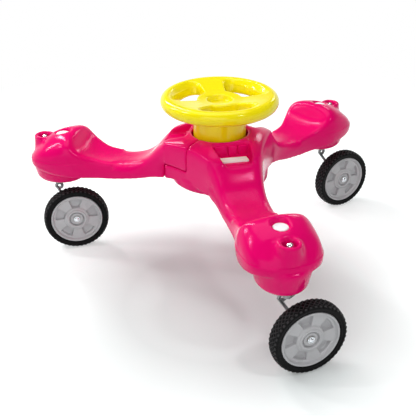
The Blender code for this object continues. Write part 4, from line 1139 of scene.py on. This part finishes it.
def pocket_relief():
    shape = bmesh.new()
    for first, last, front, top in PANELS:
        panel = raised([(0.074, first), (front, first), (front, last), (0.074, last)], 0.1375, top)
        bmesh.ops.bevel(panel, geom=panel.edges[:], offset=0.0016, offset_type="OFFSET", segments=3,
                        profile=0.5, affect="EDGES", material=-1)
        for side in (first + PIP_INSET, last - PIP_INSET):
            for height in (0.1465, top - PIP_INSET):
                bmesh.ops.create_icosphere(panel, subdivisions=2, radius=PIP_RADIUS,
                                           matrix=Matrix.Translation((front, side, height)))
        take_in(shape, panel)
    return shape


for arm in ARMS:
    keep(solid("pocket_relief_" + arm, pocket_relief(), arm_place[arm]), "body", pink, corners=50)

# %% [markdown]
# ## The plate in the front pocket
# A plain white plate lies in the pocket of the front ramp. It is a flat outline with
# rounded corners, lifted to a thin slab, which is all that such a plate is.

# %% Bare plate
PLATE_PLAN = ((0.0960, -0.029), (0.1200, -0.029), (0.1260, 0.0366), (0.1025, 0.0366))
plate = raised(soft_corners(PLATE_PLAN, 0.003), POCKET_FLOOR - 0.0005, 0.1424)
keep(solid("plain_plate", plate, arm_place["front"]), "body", white, corners=40)

# %% [markdown]
# ## The pieces that stay as they are packed
# Bolts, bushes, collars and washers are plain turned parts. Their shape is right, so
# they only take a finish.

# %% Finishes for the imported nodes
for name, node in frame["nodes"].items():
    if node.hide_render:
        continue
    finish = nylon if "bush" in name else steel
    node.data.materials.clear()
    node.data.materials.append(finish)
print("packed nodes kept:", sorted(name for name, node in frame["nodes"].items()
                                   if not node.hide_render))

# %% [markdown]
# ## Floor
# The picture is a studio shot on white paper. Near the toy the paper is lit, so that it
# takes the soft shadow; its colour leans a little to cyan, to take out the pink light
# that the body throws onto it. Further out from the middle of the shadow it glows with
# painted light that grows with the distance, so the paper round the shadow turns white,
# and then it fades to a plain white that no lamp changes, as a curved studio backdrop
# does. Seen from below it is clear, so the underside can be viewed.

# %% White paper
SHADOW_MIDDLE = (-0.10, -0.10, 0.0)
GLOW, GLOW_START, GLOW_END = 0.47, 0.24, 0.52
FADE_START, FADE_END = 0.80, 1.8


def paper():
    finish = bpy.data.materials.new("paper")
    finish.use_nodes = True
    tree = finish.node_tree
    shader = tree.nodes["Principled BSDF"]
    # The paper leans a little to cyan, to take out the pink light that the body throws into its
    # shadow.
    shader.inputs["Base Color"].default_value = (0.71, 0.755, 0.75, 1)
    shader.inputs["Roughness"].default_value = 0.9
    shader.inputs["Specular IOR Level"].default_value = 0.0
    ray = tree.nodes.new("ShaderNodeLightPath")
    seen = ray.outputs["Is Camera Ray"]
    for name in ("Is Glossy Ray", "Is Transmission Ray"):
        seen = joined(tree, "MAXIMUM", seen, ray.outputs[name])
    place = tree.nodes.new("ShaderNodeTexCoord").outputs["Object"]
    reach = tree.nodes.new("ShaderNodeVectorMath")
    reach.operation = "LENGTH"
    tree.links.new(place, reach.inputs[0])
    far = mapped(tree, reach.outputs["Value"], 0.0, 1.0, FADE_START, FADE_END)
    from_shadow = tree.nodes.new("ShaderNodeVectorMath")
    from_shadow.operation = "DISTANCE"
    from_shadow.inputs[1].default_value = SHADOW_MIDDLE
    tree.links.new(place, from_shadow.inputs[0])
    # Painted light: the paper glows more the further it lies from the middle of the shadow.
    glow = tree.nodes.new("ShaderNodeEmission")
    tree.links.new(mapped(tree, from_shadow.outputs["Value"], 0.0, GLOW, GLOW_START, GLOW_END),
                   glow.inputs["Strength"])
    near = tree.nodes.new("ShaderNodeAddShader")
    tree.links.new(shader.outputs["BSDF"], near.inputs[0])
    tree.links.new(glow.outputs["Emission"], near.inputs[1])
    backdrop = tree.nodes.new("ShaderNodeEmission")
    blend = tree.nodes.new("ShaderNodeMixShader")
    tree.links.new(far, blend.inputs["Fac"])
    tree.links.new(near.outputs["Shader"], blend.inputs[1])
    tree.links.new(backdrop.outputs["Emission"], blend.inputs[2])
    choose = tree.nodes.new("ShaderNodeMixShader")
    tree.links.new(seen, choose.inputs["Fac"])
    tree.links.new(shader.outputs["BSDF"], choose.inputs[1])
    tree.links.new(blend.outputs["Shader"], choose.inputs[2])
    clear = tree.nodes.new("ShaderNodeBsdfTransparent")
    under = tree.nodes.new("ShaderNodeMixShader")
    side = tree.nodes.new("ShaderNodeNewGeometry")
    tree.links.new(side.outputs["Backfacing"], under.inputs["Fac"])
    tree.links.new(choose.outputs["Shader"], under.inputs[1])
    tree.links.new(clear.outputs["BSDF"], under.inputs[2])
    tree.links.new(under.outputs["Shader"], tree.nodes["Material Output"].inputs["Surface"])
    return finish


ground = bmesh.new()
bmesh.ops.create_grid(ground, x_segments=1, y_segments=1, size=9.0)
floor = solid("floor", ground)
floor.data.materials.append(paper())
print("floor, m:", round(floor.dimensions.x), "by", round(floor.dimensions.y))

# %% [markdown]
# ## Lamps and world
# Gloss shows the room, so the room is planned by its reflections. Two upright softboxes
# on the left draw the pair of streaks on each bulb, and a tall one behind them draws a
# line along the shoulders. One at the front right lights the top of the ramp, and a weak
# one stands behind on the right. A large one overhead gives the soft shadow straight
# below, and a large weak one in front fills it. The world is pale near the horizon and
# dark above, so that the colours stay deep.

# %% Lamps
MIDDLE = Vector((-0.03, 0.10, 0.28))       # where the lamps look


def softbox(name, azimuth, elevation, distance, width, height, radiance):
    """An area lamp that looks at the toy from a direction, at a brightness of its face."""
    flat = math.cos(math.radians(elevation))
    towards = Vector((flat * math.cos(math.radians(azimuth)),
                      flat * math.sin(math.radians(azimuth)),
                      math.sin(math.radians(elevation))))
    lamp = bpy.data.lights.new(name, "AREA")
    lamp.shape = "RECTANGLE"
    lamp.size, lamp.size_y = width, height
    lamp.energy = radiance * math.pi * width * height
    made = bpy.data.objects.new(name, lamp)
    made.location = MIDDLE + towards * distance
    made.rotation_euler = (-towards).to_track_quat("-Z", "Y").to_euler()
    bpy.context.scene.collection.objects.link(made)
    print("%-16s %5.1f W" % (name, lamp.energy))


softbox("left_one", 147, 34, 2.4, 0.18, 0.62, 34)
softbox("left_two", 171, 43, 2.4, 0.16, 0.46, 34)
softbox("front_right", -60, 46, 2.5, 0.30, 0.22, 44)
softbox("overhead", 100, 82, 2.3, 2.20, 1.60, 2.1)
softbox("back_left", 114, 42, 2.4, 0.20, 1.50, 24)
softbox("behind_right", 47, 26, 2.3, 0.40, 0.25, 7)
softbox("front_fill", -118, 30, 3.2, 2.60, 2.00, 1.7)

# %% World
world = bpy.data.worlds.new("studio")
bpy.context.scene.world = world
world.use_nodes = True
sky = world.node_tree
direction = sky.nodes.new("ShaderNodeTexCoord").outputs["Generated"]
split = sky.nodes.new("ShaderNodeSeparateXYZ")
sky.links.new(direction, split.inputs["Vector"])
dome = sky.nodes.new("ShaderNodeMapRange")
dome.interpolation_type = "SMOOTHSTEP"
for name, value in (("From Min", 0.12), ("From Max", 0.40), ("To Min", 1.00), ("To Max", 0.13)):
    dome.inputs[name].default_value = value
sky.links.new(split.outputs["Z"], dome.inputs["Value"])
sky.links.new(dome.outputs["Result"], sky.nodes["Background"].inputs["Strength"])
sky.nodes["Background"].inputs["Color"].default_value = (1, 1, 1, 1)
print("world:", len(sky.nodes), "nodes")

# %% [markdown]
# ## Camera
# The camera stands a little left of the front arm, about 1.1 m above the floor and two
# metres from the toy. Its direction and its lens were fitted to the picture, so that the
# arms and the wheels fall where they should.

# %% Camera
BACK = Vector((-0.2595, -0.8427, 0.4719)).normalized()      # from the toy to the camera
TARGET_HEIGHT, CAMERA_DISTANCE = 0.1458, 2.0048
lens = bpy.data.cameras.new("camera")
lens.lens = 64.64
lens.sensor_width = 36
lens.shift_x = -0.02805
camera = bpy.data.objects.new("camera", lens)
camera.location = Vector((steering_at.x, steering_at.y, TARGET_HEIGHT)) + BACK * CAMERA_DISTANCE
camera.rotation_euler = (-BACK).to_track_quat("-Z", "Y").to_euler()
bpy.context.scene.collection.objects.link(camera)
bpy.context.scene.camera = camera
bpy.context.scene.view_settings.view_transform = "Standard"
print("camera height, mm:", round(1000 * camera.location.z))
